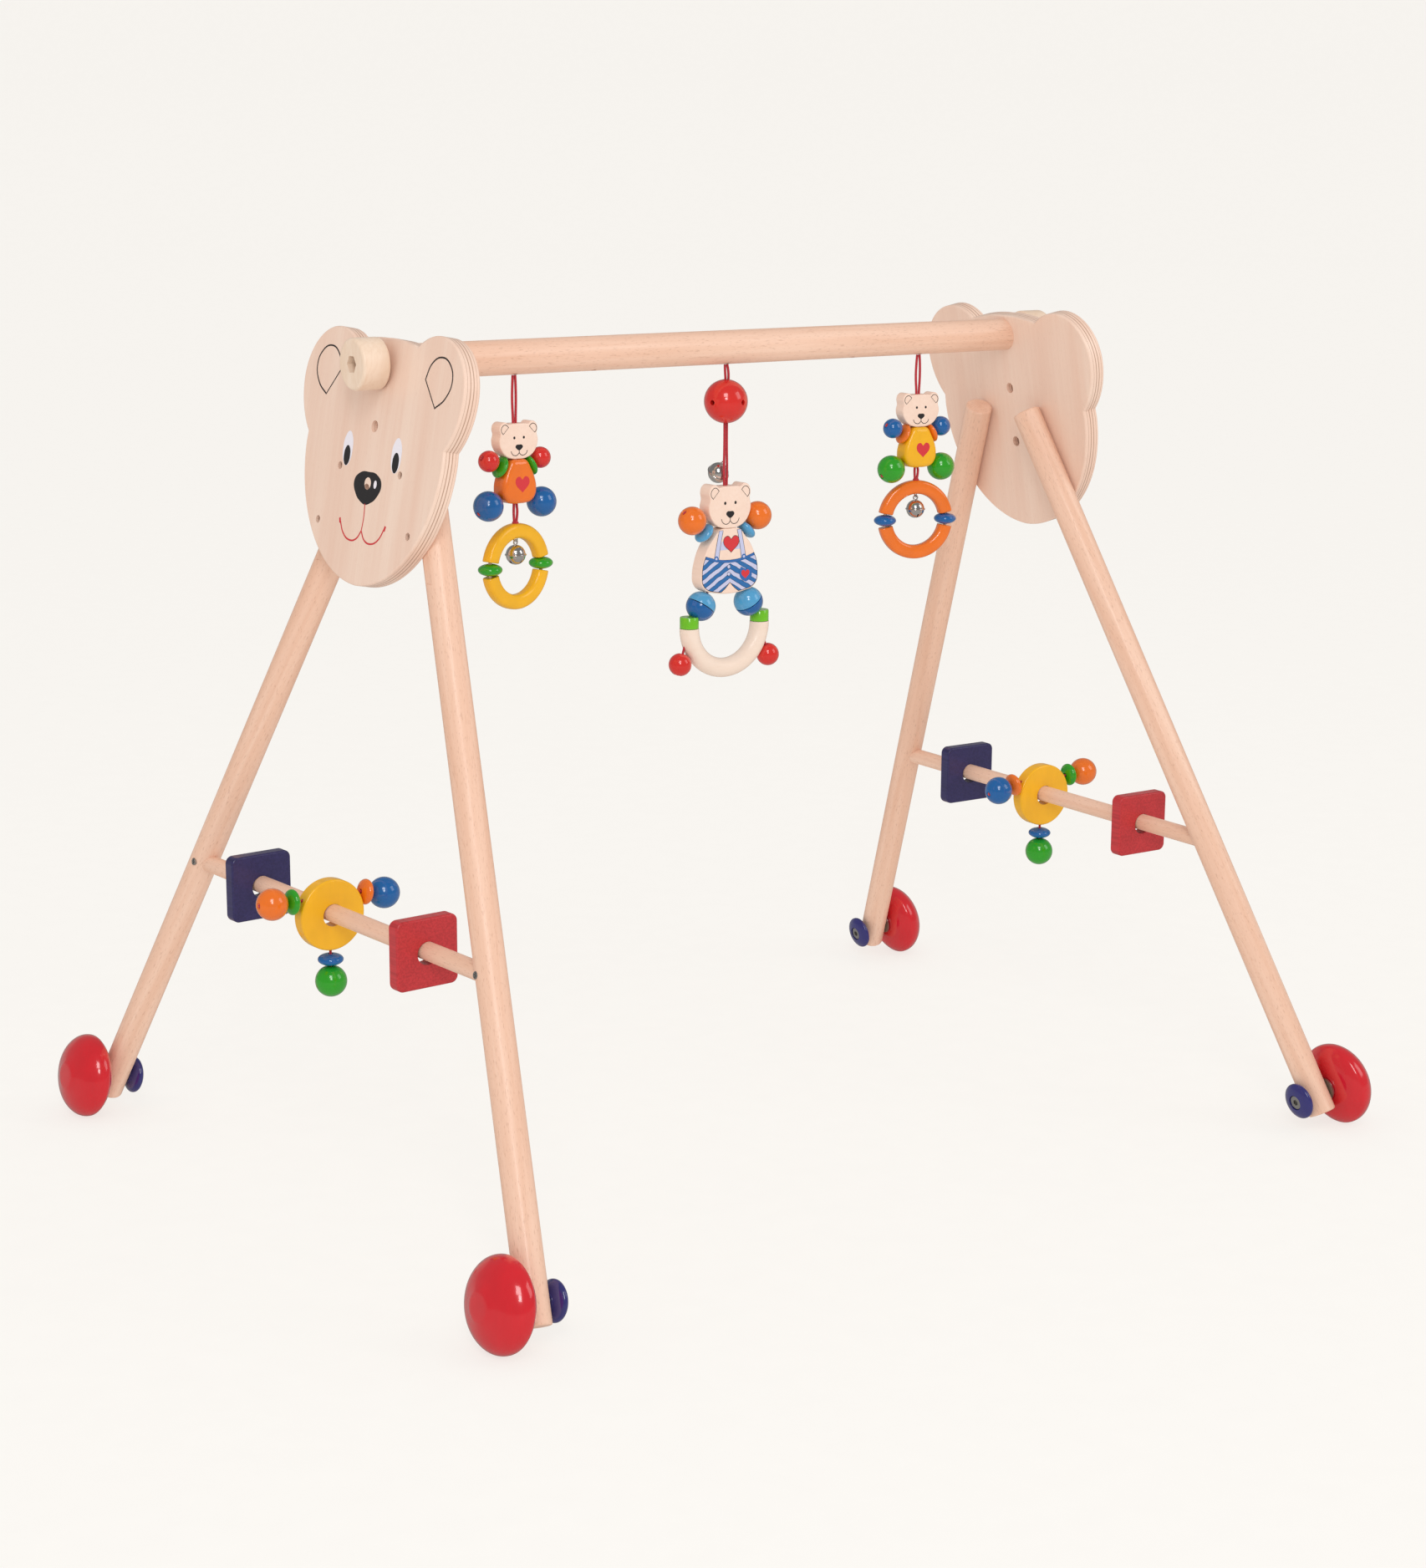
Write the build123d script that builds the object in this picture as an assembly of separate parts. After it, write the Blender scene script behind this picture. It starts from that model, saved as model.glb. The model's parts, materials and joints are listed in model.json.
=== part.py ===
"""Wooden baby play gym: two bear-faced end frames, a crossbar with three hanging toys,
a rail of spinning shapes on each end frame, and four rolling foot balls.

Millimetres, +Z up, +X from the left end frame to the right one, -Y the side the toys face.
The origin is on the floor, under the middle of the gym.
"""
import os
from math import asin, cos, degrees, radians, sin, tan

from build123d import *

# ---------------------------------------------------------------- driving dimensions

# Crossbar. Both ends are cut off square by END_CUT_ANGLE, which leans the end frames outwards.
# The bar also sits rolled about its own axis, which toes the two frames in towards the front.
CROSSBAR_DIAMETER = 23.0
END_CUT_ANGLE = 10.8
CROSSBAR_ROLL = 13.0
HUB_HALF_SPAN = 244.4          # half the distance between the planes of the two pairs of legs
CORD_HOLE_DIAMETER = 5.0
CORD_HOLE_POSITIONS = (-171.0, -109.5, 0.0, 109.5, 171.0)

# Knob, bolt and threaded insert at each end of the crossbar.
BOLT_RADIUS = 3.0
BOLT_LENGTH = 50.0
BOLT_HEAD_FLATS = 10.0
BOLT_HEAD_HEIGHT = 4.0
INSERT_RADIUS = 5.0
INSERT_LENGTH = 20.0
INSERT_DEPTH = 1.0             # how far the insert sits below the end of the bar
RUNNING_CLEARANCE = 0.05
KNOB_RADIUS = 16.6
KNOB_LENGTH = 19.5
KNOB_EDGE_ROUND = 2.0
KNOB_POCKET_DEPTH = 11.0
HEX_POCKET_SLACK = 0.2

# End frame: everything is measured from the hub, where the crossbar's axis meets the plane
# of the two legs. Local x points outwards, local y to the back, local z up the leaning frame.
LEG_RADIUS = 10.0
LEG_SPLAY = 26.4
LEG_START = 62.0
LEG_LENGTH = 550.0
LEG_END_ROUND = 1.5
LEG_FLAT_DEPTH = 0.5
LEG_FLAT_END = 136.0
PLATE_THICKNESS = 12.0
PLATE_EDGE_ROUND = 1.2
HEIGHT_HOLE_RADIUS = 3.75
HEIGHT_HOLE_PITCH = 40.3
HEIGHT_HOLE_COUNT = 3
PLATE_SCREW_DISTANCES = (80.5, 121.5)
RAIL_RADIUS = 6.0
RAIL_DROP = 359.8

# Wood screws, used for the plates and for pinning the rails.
SCREW_HEAD_RADIUS = 2.4
SCREW_HEAD_HEIGHT = 2.0
SCREW_SHANK_RADIUS = 1.5
SCREW_HOLE_RADIUS = 2.5
PLATE_SCREW_LENGTH = 22.0
PLATE_SCREW_RECESS = 3.0
RAIL_SCREW_LENGTH = 15.0
RAIL_SCREW_INSET = 3.0         # from the leg's axis towards the middle of the rail

# Foot balls: a red domed wheel outside, a blue disc inside, and the screw that joins them.
AXLE_RADIUS = 3.0
AXLE_FROM_LEG_END = 14.5
WHEEL_RADIUS = 29.5
WHEEL_INNER_FACE = 11.8
WHEEL_WIDEST = 22.0
WHEEL_TIP = 39.5
WHEEL_FACE_RADIUS = 11.0
WHEEL_BORE_END = 30.0
WASHER_RADIUS = 8.5
WASHER_THICKNESS = 1.2
HUB_DISC_RADIUS = 13.0
HUB_DISC_THICKNESS = 9.6
HUB_DISC_GAP = 0.3
AXLE_HEAD_RADIUS = 4.8
AXLE_HEAD_HEIGHT = 3.0
AXLE_RECESS_RADIUS = 5.4
AXLE_RECESS_DEPTH = 4.2

# Shapes on the rails.
SQUARE_SIDE = 45.0
SQUARE_THICKNESS = 10.0
SQUARE_CORNER = 5.0
SHAPE_EDGE_ROUND = 1.5
SHAPE_HOLE_RADIUS = 7.5
BLUE_SQUARE_Y = 102.0
RED_SQUARE_Y = -103.5
SPINNER_Y = 9.4
SPINNER_RADIUS = 23.7
SPINNER_THICKNESS = 10.0
SPINNER_ARM_HOLE = 30.0        # the side arms leave the rim this far above level
SPINNER_OUTER_DROOP = 3.0      # the outer arm's angle above level once outside the rim
SPINNER_INNER_DROOP = -11.0
HANG_GAP = 0.1

# Beads and cord.
CORD_RADIUS = 0.9
CORD_BORE_RADIUS = 1.5
KNOT_RADIUS = 2.0
BIG_BALL_RADIUS = 10.5
LENS_RADIUS = 8.5
LENS_THICKNESS = 8.0
BEAD_GAP = 0.2
SPINNER_LENS_FROM_RIM = 7.0
SPINNER_BALL_FROM_RIM = SPINNER_LENS_FROM_RIM + LENS_THICKNESS / 2 + BIG_BALL_RADIUS + BEAD_GAP
SPINNER_KNOT_FROM_RIM = SPINNER_BALL_FROM_RIM + BIG_BALL_RADIUS + KNOT_RADIUS / 2
SPINNER_ARM_HOLE_DEPTH = 8.0
LIMB_HOLE_DEPTH = 2.0          # how far an arm or leg cord goes into the body

# Hanging toys. Drops are measured down from the crossbar's axis.
TOY_TUNNEL_RADIUS = 2.6
STRAND_SPREAD = 1.3
SMALL_HEAD = (32.0, 24.4, 10.0)
LARGE_HEAD = (36.5, 30.6, 12.0)
SIDE_TORSO_THICKNESS = 14.0
SIDE_TORSO_ROUND = 3.0
ARM_BALL_RADIUS = 6.6
ARM_LENS_RADIUS = 7.3
ARM_LENS_THICKNESS = 6.0
LEG_BALL_RADIUS = 10.0
SIDE_ARM_ROOT = (10.8, 5.7)    # out from the middle and down from the top of the body
SIDE_ARM_DIRECTION = (0.9, 0.42)
SIDE_LEG_ROOT = (13.9, 24.8)
SIDE_LEG_DIRECTION = (0.87, -0.49)
RING_RADIUS = 28.6
RING_WIDTH = 10.0
RING_DEPTH = 9.0
RING_GAP = 9.8
RING_PIN_RADIUS = 1.2
RING_BEAD_RADIUS = 8.1
RING_BEAD_THICKNESS = 8.2
RING_SOCKET_RADIUS = 2.5
STAPLE_DROP = 2.2              # the staple's bar below the inside of the ring
STAPLE_DEPTH = 3.0
BELL_RADIUS = 6.6
BELL_WALL = 0.6
BELL_WIRE_RADIUS = 0.5
BELL_EYE_RADIUS = 1.6
CENTRE_TURN = 0.0
TOP_BEAD_RADIUS = 15.1
TOP_BEAD_DROP = 36.7
TOP_BEAD_CROSS_RADIUS = 1.8
TOP_BEAD_CROSS_TURN = 16.0
CENTRE_HEAD_TOP = 93.1
CENTRE_TORSO_TOP = 123.9
CENTRE_TORSO_THICKNESS = 12.0
CENTRE_TORSO_BORE = 38.0       # depth of the cords' hole below the top of the torso
CENTRE_ARM_ROOT = (15.3, 4.9)  # out from the middle and down from the top of the torso
CENTRE_ARM_DIRECTION = (0.739, 0.674)
CENTRE_ARM_LENS_RADIUS = 7.6
CENTRE_ARM_LENS_THICKNESS = 7.0
CENTRE_ARM_BALL_RADIUS = 9.9
CENTRE_LEG_HOLE = (13.0, 41.0)
CENTRE_BELL_RADIUS = 7.2
CENTRE_BELL_EYE = (0.0, 3.3, -79.5)
CENTRE_BELL_REST = 36.0        # the cord holds the bell this far out behind it
HALF_RING_RADIUS = 30.2        # to the middle of its round section
HALF_RING_TUBE = 6.8
HALF_RING_DROP = 192.0
COLLAR_RADIUS = 6.6
COLLAR_LENGTH = 9.5
CENTRE_LEG_BALL = (20.5, 177.2, 10.3)
END_BALL_RADIUS = 8.0
END_BALL_ANGLE = 33.0

# ---------------------------------------------------------------- the end frame's coordinates

cut = radians(END_CUT_ANGLE)
roll = radians(CROSSBAR_ROLL)
OUTWARD = Vector(cos(cut), -sin(cut) * sin(roll), sin(cut) * cos(roll))
BACKWARD = Vector(0, 0, 1).cross(OUTWARD).normalized()
UPWARD = OUTWARD.cross(BACKWARD)
LEAN = degrees(asin(OUTWARD.Z))
# The crossbar's direction as the end frame sees it.
BAR_DIRECTION = Vector(OUTWARD.X, BACKWARD.X, UPWARD.X)

PLATE_INNER = LEG_RADIUS - LEG_FLAT_DEPTH
PLATE_OUTER = PLATE_INNER + PLATE_THICKNESS
AXLE_DISTANCE = LEG_START + LEG_LENGTH - AXLE_FROM_LEG_END


def leg_point(side, distance, outward=0.0):
    """A point on a leg's axis; side is -1 for the front leg and +1 for the back leg."""
    splay = radians(LEG_SPLAY)
    return Vector(outward, side * distance * sin(splay), -distance * cos(splay))


def between(start, end, radius):
    """A round rod from one point to another."""
    direction = Vector(*end) - Vector(*start)
    base = Plane(origin=start, z_dir=direction)
    return extrude(base * Circle(radius), amount=direction.length)


def quarter_oval(centre, across, along, start):
    """A quarter of an ellipse, from the angle start (in quarter turns) anticlockwise."""
    angles = [(start + step / 4) * radians(90) for step in range(5)]
    points = [(centre[0] + across * cos(angle), centre[1] + along * sin(angle)) for angle in angles]
    tangents = [(-across * sin(angle), along * cos(angle)) for angle in (angles[0], angles[-1])]
    return Spline(*points, tangents=tangents)


def ball_at(centre, radius, direction, bore=CORD_BORE_RADIUS):
    """A drilled ball; direction is the way its hole runs."""
    ball = Sphere(radius) - Cylinder(bore, 2 * radius)
    return Plane(origin=Vector(*centre), z_dir=Vector(*direction)).location * ball


def lens_at(centre, radius, thickness, direction, bore=CORD_BORE_RADIUS):
    """A drilled lens-shaped bead with a rounded rim."""
    rim = [quarter_oval((0, 0), radius, thickness / 2, start) for start in (-1, 0)]
    section = make_face(rim + [Line((0, thickness / 2), (0, -thickness / 2))])
    bead = revolve(Plane.XZ * section, Axis.Z) - Cylinder(bore, thickness)
    return Plane(origin=Vector(*centre), z_dir=Vector(*direction)).location * bead


def knotted_cord(start, knot):
    """A straight cord with the knot that ends it, centred on the second point."""
    line = Vector(*knot) - Vector(*start)
    cord = Pos(0, 0, line.length / 2) * Cylinder(CORD_RADIUS, line.length)
    cord += Pos(0, 0, line.length) * Sphere(KNOT_RADIUS)
    return Plane(origin=Vector(*start), z_dir=line).location * cord


def save(name, shapes):
    """Write one node; several separate solids share one file as a group."""
    solids = [solid for shape in shapes for solid in shape.solids()]
    export_step(Compound(solids), f"parts/{name}.step")
    print(name, len(solids), round(sum(solid.volume for solid in solids), 1))


# ---------------------------------------------------------------- end frame parts, local

def plate_outline():
    """The bear's head, drawn about the hub with x to the back and y up."""
    crown = ThreePointArc((0, 12.2), (18, 11.6), (36, 8.5))
    ear = ThreePointArc((36, 8.5), (61, 16.5), (94.6, -19.5))
    ear_side = TangentArc((94.6, -19.5), (81, -53.5), tangent=ear % 1)
    temple = Line((81, -53.5), (81.6, -60))
    jaw = TangentArc((81.6, -60), (49.6, -127.5), tangent=(0, -1))
    chin = TangentArc((49.6, -127.5), (0, -146), tangent=jaw % 1)
    half = [crown, ear, ear_side, temple, jaw, chin]
    return make_face(half + [mirror(edge, about=Plane.YZ) for edge in half])


def height_hole_axes():
    """Start and end points of the three bolt holes, drilled in line with the crossbar."""
    reach = BAR_DIRECTION * (2 * PLATE_OUTER)
    for index in range(HEIGHT_HOLE_COUNT):
        start = Vector(0, 0, -index * HEIGHT_HOLE_PITCH)
        yield start, start + reach


def bear_plate():
    blank = extrude(Plane.YZ * plate_outline(), amount=PLATE_THICKNESS)
    rims = blank.faces().filter_by(Axis.X).edges()
    plate = Pos(PLATE_INNER, 0, 0) * fillet(rims, PLATE_EDGE_ROUND)
    for start, end in height_hole_axes():
        plate -= between(start, end, HEIGHT_HOLE_RADIUS)
    for side in (-1, 1):
        for distance in PLATE_SCREW_DISTANCES:
            plate -= screw_hole(leg_point(side, distance, PLATE_OUTER), PLATE_SCREW_LENGTH)
    return plate


def wood_screw(mouth, length, recess):
    """A screw driven inwards; mouth is the point where its hole meets the surface."""
    head_top = Vector(*mouth) - Vector(recess, 0, 0)
    head_base = head_top - Vector(SCREW_HEAD_HEIGHT, 0, 0)
    tip = head_top - Vector(length, 0, 0)
    screw = between(head_top, head_base, SCREW_HEAD_RADIUS) + between(head_base, tip, SCREW_SHANK_RADIUS)
    slot_width = 0.8
    slot = Box(slot_width * 2, SCREW_HEAD_RADIUS * 1.5, slot_width)
    cross = slot + Rot(90, 0, 0) * slot
    return screw - Pos(*head_top) * cross


def screw_hole(mouth, length, recess=PLATE_SCREW_RECESS):
    """The counterbore and pilot hole that a wood screw leaves no wider than it needs."""
    mouth = Vector(*mouth)
    seat = mouth - Vector(recess + SCREW_HEAD_HEIGHT, 0, 0)
    tip = mouth - Vector(recess + length, 0, 0)
    return (
        between(mouth + Vector(1, 0, 0), seat, SCREW_HOLE_RADIUS)
        + between(seat, tip, SCREW_SHANK_RADIUS))


def rail():
    """The rail runs from the axis of one leg to the axis of the other."""
    reach = RAIL_DROP * tan(radians(LEG_SPLAY))
    return between((0, -reach, -RAIL_DROP), (0, reach, -RAIL_DROP), RAIL_RADIUS)


def rail_screw_mouth(side):
    reach = RAIL_DROP * tan(radians(LEG_SPLAY)) - RAIL_SCREW_INSET
    return Vector(LEG_RADIUS, side * reach, -RAIL_DROP)


def leg(side):
    start = leg_point(side, LEG_START)
    end = leg_point(side, LEG_START + LEG_LENGTH)
    dowel = between(start, end, LEG_RADIUS)
    dowel = fillet(dowel.edges().filter_by(GeomType.CIRCLE), LEG_END_ROUND)
    flat_depth = 2 * LEG_RADIUS
    flat = Pos(PLATE_INNER + flat_depth / 2, 0, -LEG_FLAT_END / 2) * Box(
        flat_depth, 4 * LEG_FLAT_END, LEG_FLAT_END)
    dowel -= flat
    dowel -= rail()
    for distance in PLATE_SCREW_DISTANCES:
        dowel -= screw_hole(leg_point(side, distance, PLATE_OUTER), PLATE_SCREW_LENGTH)
    dowel -= screw_hole(rail_screw_mouth(side), RAIL_SCREW_LENGTH, recess=0)
    inner = leg_point(side, AXLE_DISTANCE, -2 * LEG_RADIUS)
    outer = leg_point(side, AXLE_DISTANCE, 2 * LEG_RADIUS)
    return dowel - between(inner, outer, AXLE_RADIUS + RUNNING_CLEARANCE)


def drilled_rail():
    bar = rail()
    for side in (-1, 1):
        bar -= screw_hole(rail_screw_mouth(side), RAIL_SCREW_LENGTH, recess=0)
    return bar


def frame_screws():
    screws = [wood_screw(rail_screw_mouth(side), RAIL_SCREW_LENGTH, 0) for side in (-1, 1)]
    for side in (-1, 1):
        for distance in PLATE_SCREW_DISTANCES:
            mouth = leg_point(side, distance, PLATE_OUTER)
            screws.append(wood_screw(mouth, PLATE_SCREW_LENGTH, PLATE_SCREW_RECESS))
    return screws


def washer(side):
    inner = leg_point(side, AXLE_DISTANCE, LEG_RADIUS)
    outer = inner + Vector(WASHER_THICKNESS, 0, 0)
    ring = between(inner, outer, WASHER_RADIUS)
    return ring - between(inner, outer, AXLE_RADIUS + RUNNING_CLEARANCE)


def foot_ball(side):
    """Drawn with x as the radius and y as the distance out from the plane of the legs."""
    face = Line((0, WHEEL_INNER_FACE), (WHEEL_FACE_RADIUS, WHEEL_INNER_FACE))
    shoulder = quarter_oval(
        (WHEEL_FACE_RADIUS, WHEEL_WIDEST), WHEEL_RADIUS - WHEEL_FACE_RADIUS,
        WHEEL_WIDEST - WHEEL_INNER_FACE, start=-1)
    dome = quarter_oval((0, WHEEL_WIDEST), WHEEL_RADIUS, WHEEL_TIP - WHEEL_WIDEST, start=0)
    axis = Line((0, WHEEL_TIP), (0, WHEEL_INNER_FACE))
    section = make_face([face, shoulder, dome, axis])
    wheel = revolve(Plane.XZ * section, Axis.Z)
    wheel -= between((0, 0, 0), (0, 0, WHEEL_BORE_END), AXLE_RADIUS)
    return foot_location(side) * wheel


def foot_location(side):
    """Stands a foot's parts, drawn about Z, on the axle's axis."""
    return Plane(origin=leg_point(side, AXLE_DISTANCE), z_dir=(1, 0, 0)).location


def hub_disc(side):
    outer = -LEG_RADIUS - HUB_DISC_GAP
    middle = outer - HUB_DISC_THICKNESS / 2
    disc = lens_at((0, 0, middle), HUB_DISC_RADIUS, HUB_DISC_THICKNESS, (0, 0, 1), AXLE_RADIUS)
    recess_mouth = outer - HUB_DISC_THICKNESS
    recess = between((0, 0, recess_mouth - 1), (0, 0, recess_mouth + AXLE_RECESS_DEPTH), AXLE_RECESS_RADIUS)
    return foot_location(side) * (disc - recess)


def axle_screw(side):
    head_seat = -LEG_RADIUS - HUB_DISC_GAP - HUB_DISC_THICKNESS + AXLE_RECESS_DEPTH
    shank = between((0, 0, head_seat), (0, 0, WHEEL_BORE_END), AXLE_RADIUS)
    head = between((0, 0, head_seat - AXLE_HEAD_HEIGHT), (0, 0, head_seat), AXLE_HEAD_RADIUS)
    socket_flats = 4.0
    socket = extrude(
        Pos(0, 0, head_seat - AXLE_HEAD_HEIGHT) * RegularPolygon(socket_flats / 2, 6, major_radius=False),
        amount=AXLE_HEAD_HEIGHT * 0.7)
    return foot_location(side) * (shank + head - socket)


# ---------------------------------------------------------------- shapes on the rails, local

def hanging_location(y, thickness):
    """A shape's own axes on the rail: its hole rests on the rail and its sides stay level."""
    drop = RAIL_DROP + SHAPE_HOLE_RADIUS - RAIL_RADIUS - HANG_GAP
    return Pos(0, y, -drop) * Rot(0, LEAN, 0) * Pos(0, thickness / 2, 0)


def square_shape(y):
    side = RectangleRounded(SQUARE_SIDE, SQUARE_SIDE, SQUARE_CORNER)
    plate = extrude(Plane.XZ * side, amount=SQUARE_THICKNESS)
    plate = fillet(plate.faces().filter_by(Axis.Y).edges(), SHAPE_EDGE_ROUND)
    plate -= extrude(Plane.XZ * Circle(SHAPE_HOLE_RADIUS), amount=SQUARE_THICKNESS)
    return hanging_location(y, SQUARE_THICKNESS) * plate


def spinner_arms():
    """Rim point and direction of each arm, in the disc's own XZ plane."""
    half_turn = radians(180)
    hole = radians(SPINNER_ARM_HOLE)
    for hole_angle, arm_angle in (
            (hole, radians(SPINNER_OUTER_DROOP)),
            (half_turn - hole, half_turn - radians(SPINNER_INNER_DROOP)),
            (-half_turn / 2, -half_turn / 2)):
        rim = Vector(cos(hole_angle), 0, sin(hole_angle)) * SPINNER_RADIUS
        yield rim, Vector(cos(arm_angle), 0, sin(arm_angle))


def spinner_disc():
    disc = extrude(Plane.XZ * Circle(SPINNER_RADIUS), amount=SPINNER_THICKNESS)
    disc = fillet(disc.edges(), SHAPE_EDGE_ROUND)
    disc -= extrude(Plane.XZ * Circle(SHAPE_HOLE_RADIUS), amount=SPINNER_THICKNESS)
    middle = Vector(0, -SPINNER_THICKNESS / 2, 0)
    for rim, _ in spinner_arms():
        inward = rim.normalized()
        disc -= between(
            middle + inward * (SPINNER_RADIUS - SPINNER_ARM_HOLE_DEPTH),
            middle + inward * (SPINNER_RADIUS + 1), CORD_BORE_RADIUS)
    return hanging_location(SPINNER_Y, SPINNER_THICKNESS) * disc


def spinner_beads():
    place = hanging_location(SPINNER_Y, 0)
    beads = []
    for rim, direction in spinner_arms():
        lens_centre = rim + direction * SPINNER_LENS_FROM_RIM
        ball_centre = rim + direction * SPINNER_BALL_FROM_RIM
        beads.append(place * lens_at(lens_centre, LENS_RADIUS, LENS_THICKNESS, direction))
        beads.append(place * ball_at(ball_centre, BIG_BALL_RADIUS, direction))
    return beads


def spinner_cords():
    place = hanging_location(SPINNER_Y, 0)
    cords = []
    for rim, direction in spinner_arms():
        inner = rim.normalized() * (SPINNER_RADIUS - SPINNER_ARM_HOLE_DEPTH)
        knot = rim + direction * SPINNER_KNOT_FROM_RIM
        cord = between(inner, rim, CORD_RADIUS) + Pos(*rim) * Sphere(CORD_RADIUS)
        cords.append(place * (cord + knotted_cord(rim, knot)))
    return cords


# ---------------------------------------------------------------- crossbar, knobs and bolts

def hub_height():
    """The crossbar's height that puts the lowest point of the foot balls on the floor."""
    at_origin = Plane(origin=(0, 0, 0), x_dir=OUTWARD, z_dir=UPWARD).location
    return -(at_origin * foot_ball(1)).bounding_box().min.Z


def front_shift():
    """Centres the gym front to back on its foot balls."""
    at_origin = Plane(origin=(0, 0, 0), x_dir=OUTWARD, z_dir=UPWARD).location
    front = (at_origin * foot_ball(-1)).bounding_box().min.Y
    back = (at_origin * foot_ball(1)).bounding_box().max.Y
    return -(front + back) / 2


HUB_HEIGHT = hub_height()
BAR_Y = front_shift()
END_FRAME = Plane(origin=(HUB_HALF_SPAN, BAR_Y, HUB_HEIGHT), x_dir=OUTWARD, z_dir=UPWARD).location
CROSSBAR = Pos(0, BAR_Y, HUB_HEIGHT)
BAR_END = HUB_HALF_SPAN + PLATE_INNER / cos(cut)
PLATE_FACE = HUB_HALF_SPAN + PLATE_OUTER / cos(cut)
KNOB_BACK = PLATE_FACE + KNOB_RADIUS * tan(cut) + 2 * HANG_GAP
KNOB_FRONT = KNOB_BACK + KNOB_LENGTH
HEAD_SEAT = KNOB_FRONT - KNOB_POCKET_DEPTH


def on_right(shape):
    return END_FRAME * shape


def on_left(shape):
    return mirror(END_FRAME * shape, about=Plane.YZ)


def crossbar():
    radius = CROSSBAR_DIAMETER / 2
    bar = between((-HUB_HALF_SPAN * 1.2, 0, 0), (HUB_HALF_SPAN * 1.2, 0, 0), radius)
    bore_start = BAR_END - BOLT_LENGTH
    bore = between((bore_start, 0, 0), (2 * BAR_END, 0, 0), INSERT_RADIUS)
    bar -= bore
    bar -= mirror(bore, about=Plane.YZ)
    for x in CORD_HOLE_POSITIONS:
        drill = Vector(0, -sin(roll), -cos(roll)) * (2 * radius)
        middle = Vector(x, 0, 0)
        bar -= between(middle - drill, middle + drill, CORD_HOLE_DIAMETER / 2)
    bar = CROSSBAR * bar
    waste = END_FRAME * Pos(PLATE_INNER + PLATE_THICKNESS * 3, 0, 0) * Box(
        PLATE_THICKNESS * 6, CROSSBAR_DIAMETER * 3, CROSSBAR_DIAMETER * 3)
    return bar - waste - mirror(waste, about=Plane.YZ)


def threaded_insert():
    outer_end = BAR_END - CROSSBAR_DIAMETER / 2 * tan(cut) - INSERT_DEPTH
    span = ((outer_end - INSERT_LENGTH, 0, 0), (outer_end, 0, 0))
    return CROSSBAR * (between(*span, INSERT_RADIUS) - between(*span, BOLT_RADIUS + RUNNING_CLEARANCE))


def hexagon_prism(flats, start, length):
    base = Plane(origin=(start, 0, 0), x_dir=(0, 1, 0), z_dir=(1, 0, 0))
    return extrude(base * RegularPolygon(flats / 2, 6, major_radius=False), amount=length)


def knob():
    body = between((KNOB_BACK, 0, 0), (KNOB_FRONT, 0, 0), KNOB_RADIUS)
    body = fillet(body.edges().filter_by(GeomType.CIRCLE), KNOB_EDGE_ROUND)
    body -= hexagon_prism(BOLT_HEAD_FLATS + HEX_POCKET_SLACK, HEAD_SEAT, KNOB_POCKET_DEPTH + 1)
    return CROSSBAR * (body - between((KNOB_BACK - 1, 0, 0), (KNOB_FRONT, 0, 0), BOLT_RADIUS))


def knob_bolt():
    shank = between((HEAD_SEAT - BOLT_LENGTH, 0, 0), (HEAD_SEAT, 0, 0), BOLT_RADIUS)
    return CROSSBAR * (shank + hexagon_prism(BOLT_HEAD_FLATS, HEAD_SEAT, BOLT_HEAD_HEIGHT))


# ---------------------------------------------------------------- hanging toys, about their own axis

def toy_location(x, turn=0.0):
    """Under a cord hole's lower mouth, with z still measured from the crossbar's axis."""
    mouth_y = -CROSSBAR_DIAMETER / 2 * sin(roll)
    return CROSSBAR * Pos(x, mouth_y, 0) * Rot(0, 0, turn)


def bear_head(size, top):
    """A flat bear head with two small ears, facing -Y."""
    width, height, thickness = size
    half = width / 2
    crown = ThreePointArc(
        (0, -0.05 * height), (0.35 * half, -0.055 * height), (0.52 * half, -0.07 * height))
    ear = ThreePointArc(
        (0.52 * half, -0.07 * height), (0.88 * half, -0.035 * height), (0.93 * half, -0.34 * height))
    cheek = ThreePointArc((0.93 * half, -0.34 * height), (0.75 * half, -0.76 * height), (0, -height))
    edges = [crown, ear, cheek]
    face = make_face(edges + [mirror(edge, about=Plane.YZ) for edge in edges])
    head = Pos(0, thickness / 2, -top) * extrude(Plane.XZ * face, amount=thickness)
    return head - between((0, 0, 0), (0, 0, -top - 2 * height), TOY_TUNNEL_RADIUS)


def side_torso(top):
    """A thick flat body shaped like a pear, facing -Y, with well rounded edges."""
    flank = ThreePointArc((6.0, 0), (11.8, 9.5), (13.8, 19))
    hip = TangentArc((13.8, 19), (8.5, 28), tangent=flank % 1)
    hem = TangentArc((8.5, 28), (0, 29), tangent=hip % 1)
    half = [Line((0, 0), (6.0, 0)), flank, hip, hem]
    face = make_face(half + [mirror(edge, about=Plane.YZ) for edge in half])
    body = extrude(Plane.XZ * mirror(face, about=Plane.XZ), amount=SIDE_TORSO_THICKNESS)
    body = fillet(body.faces().filter_by(Axis.Y).edges(), SIDE_TORSO_ROUND)
    body = Pos(0, SIDE_TORSO_THICKNESS / 2, -top) * body
    return body - between((0, 0, 0), (0, 0, -top - 2 * SMALL_HEAD[0]), TOY_TUNNEL_RADIUS)


def strands(start, end):
    """Two parallel cords, between two drops below the crossbar's axis."""
    return [
        between((side * STRAND_SPREAD, 0, -start), (side * STRAND_SPREAD, 0, -end), CORD_RADIUS)
        for side in (-1, 1)]


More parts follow.
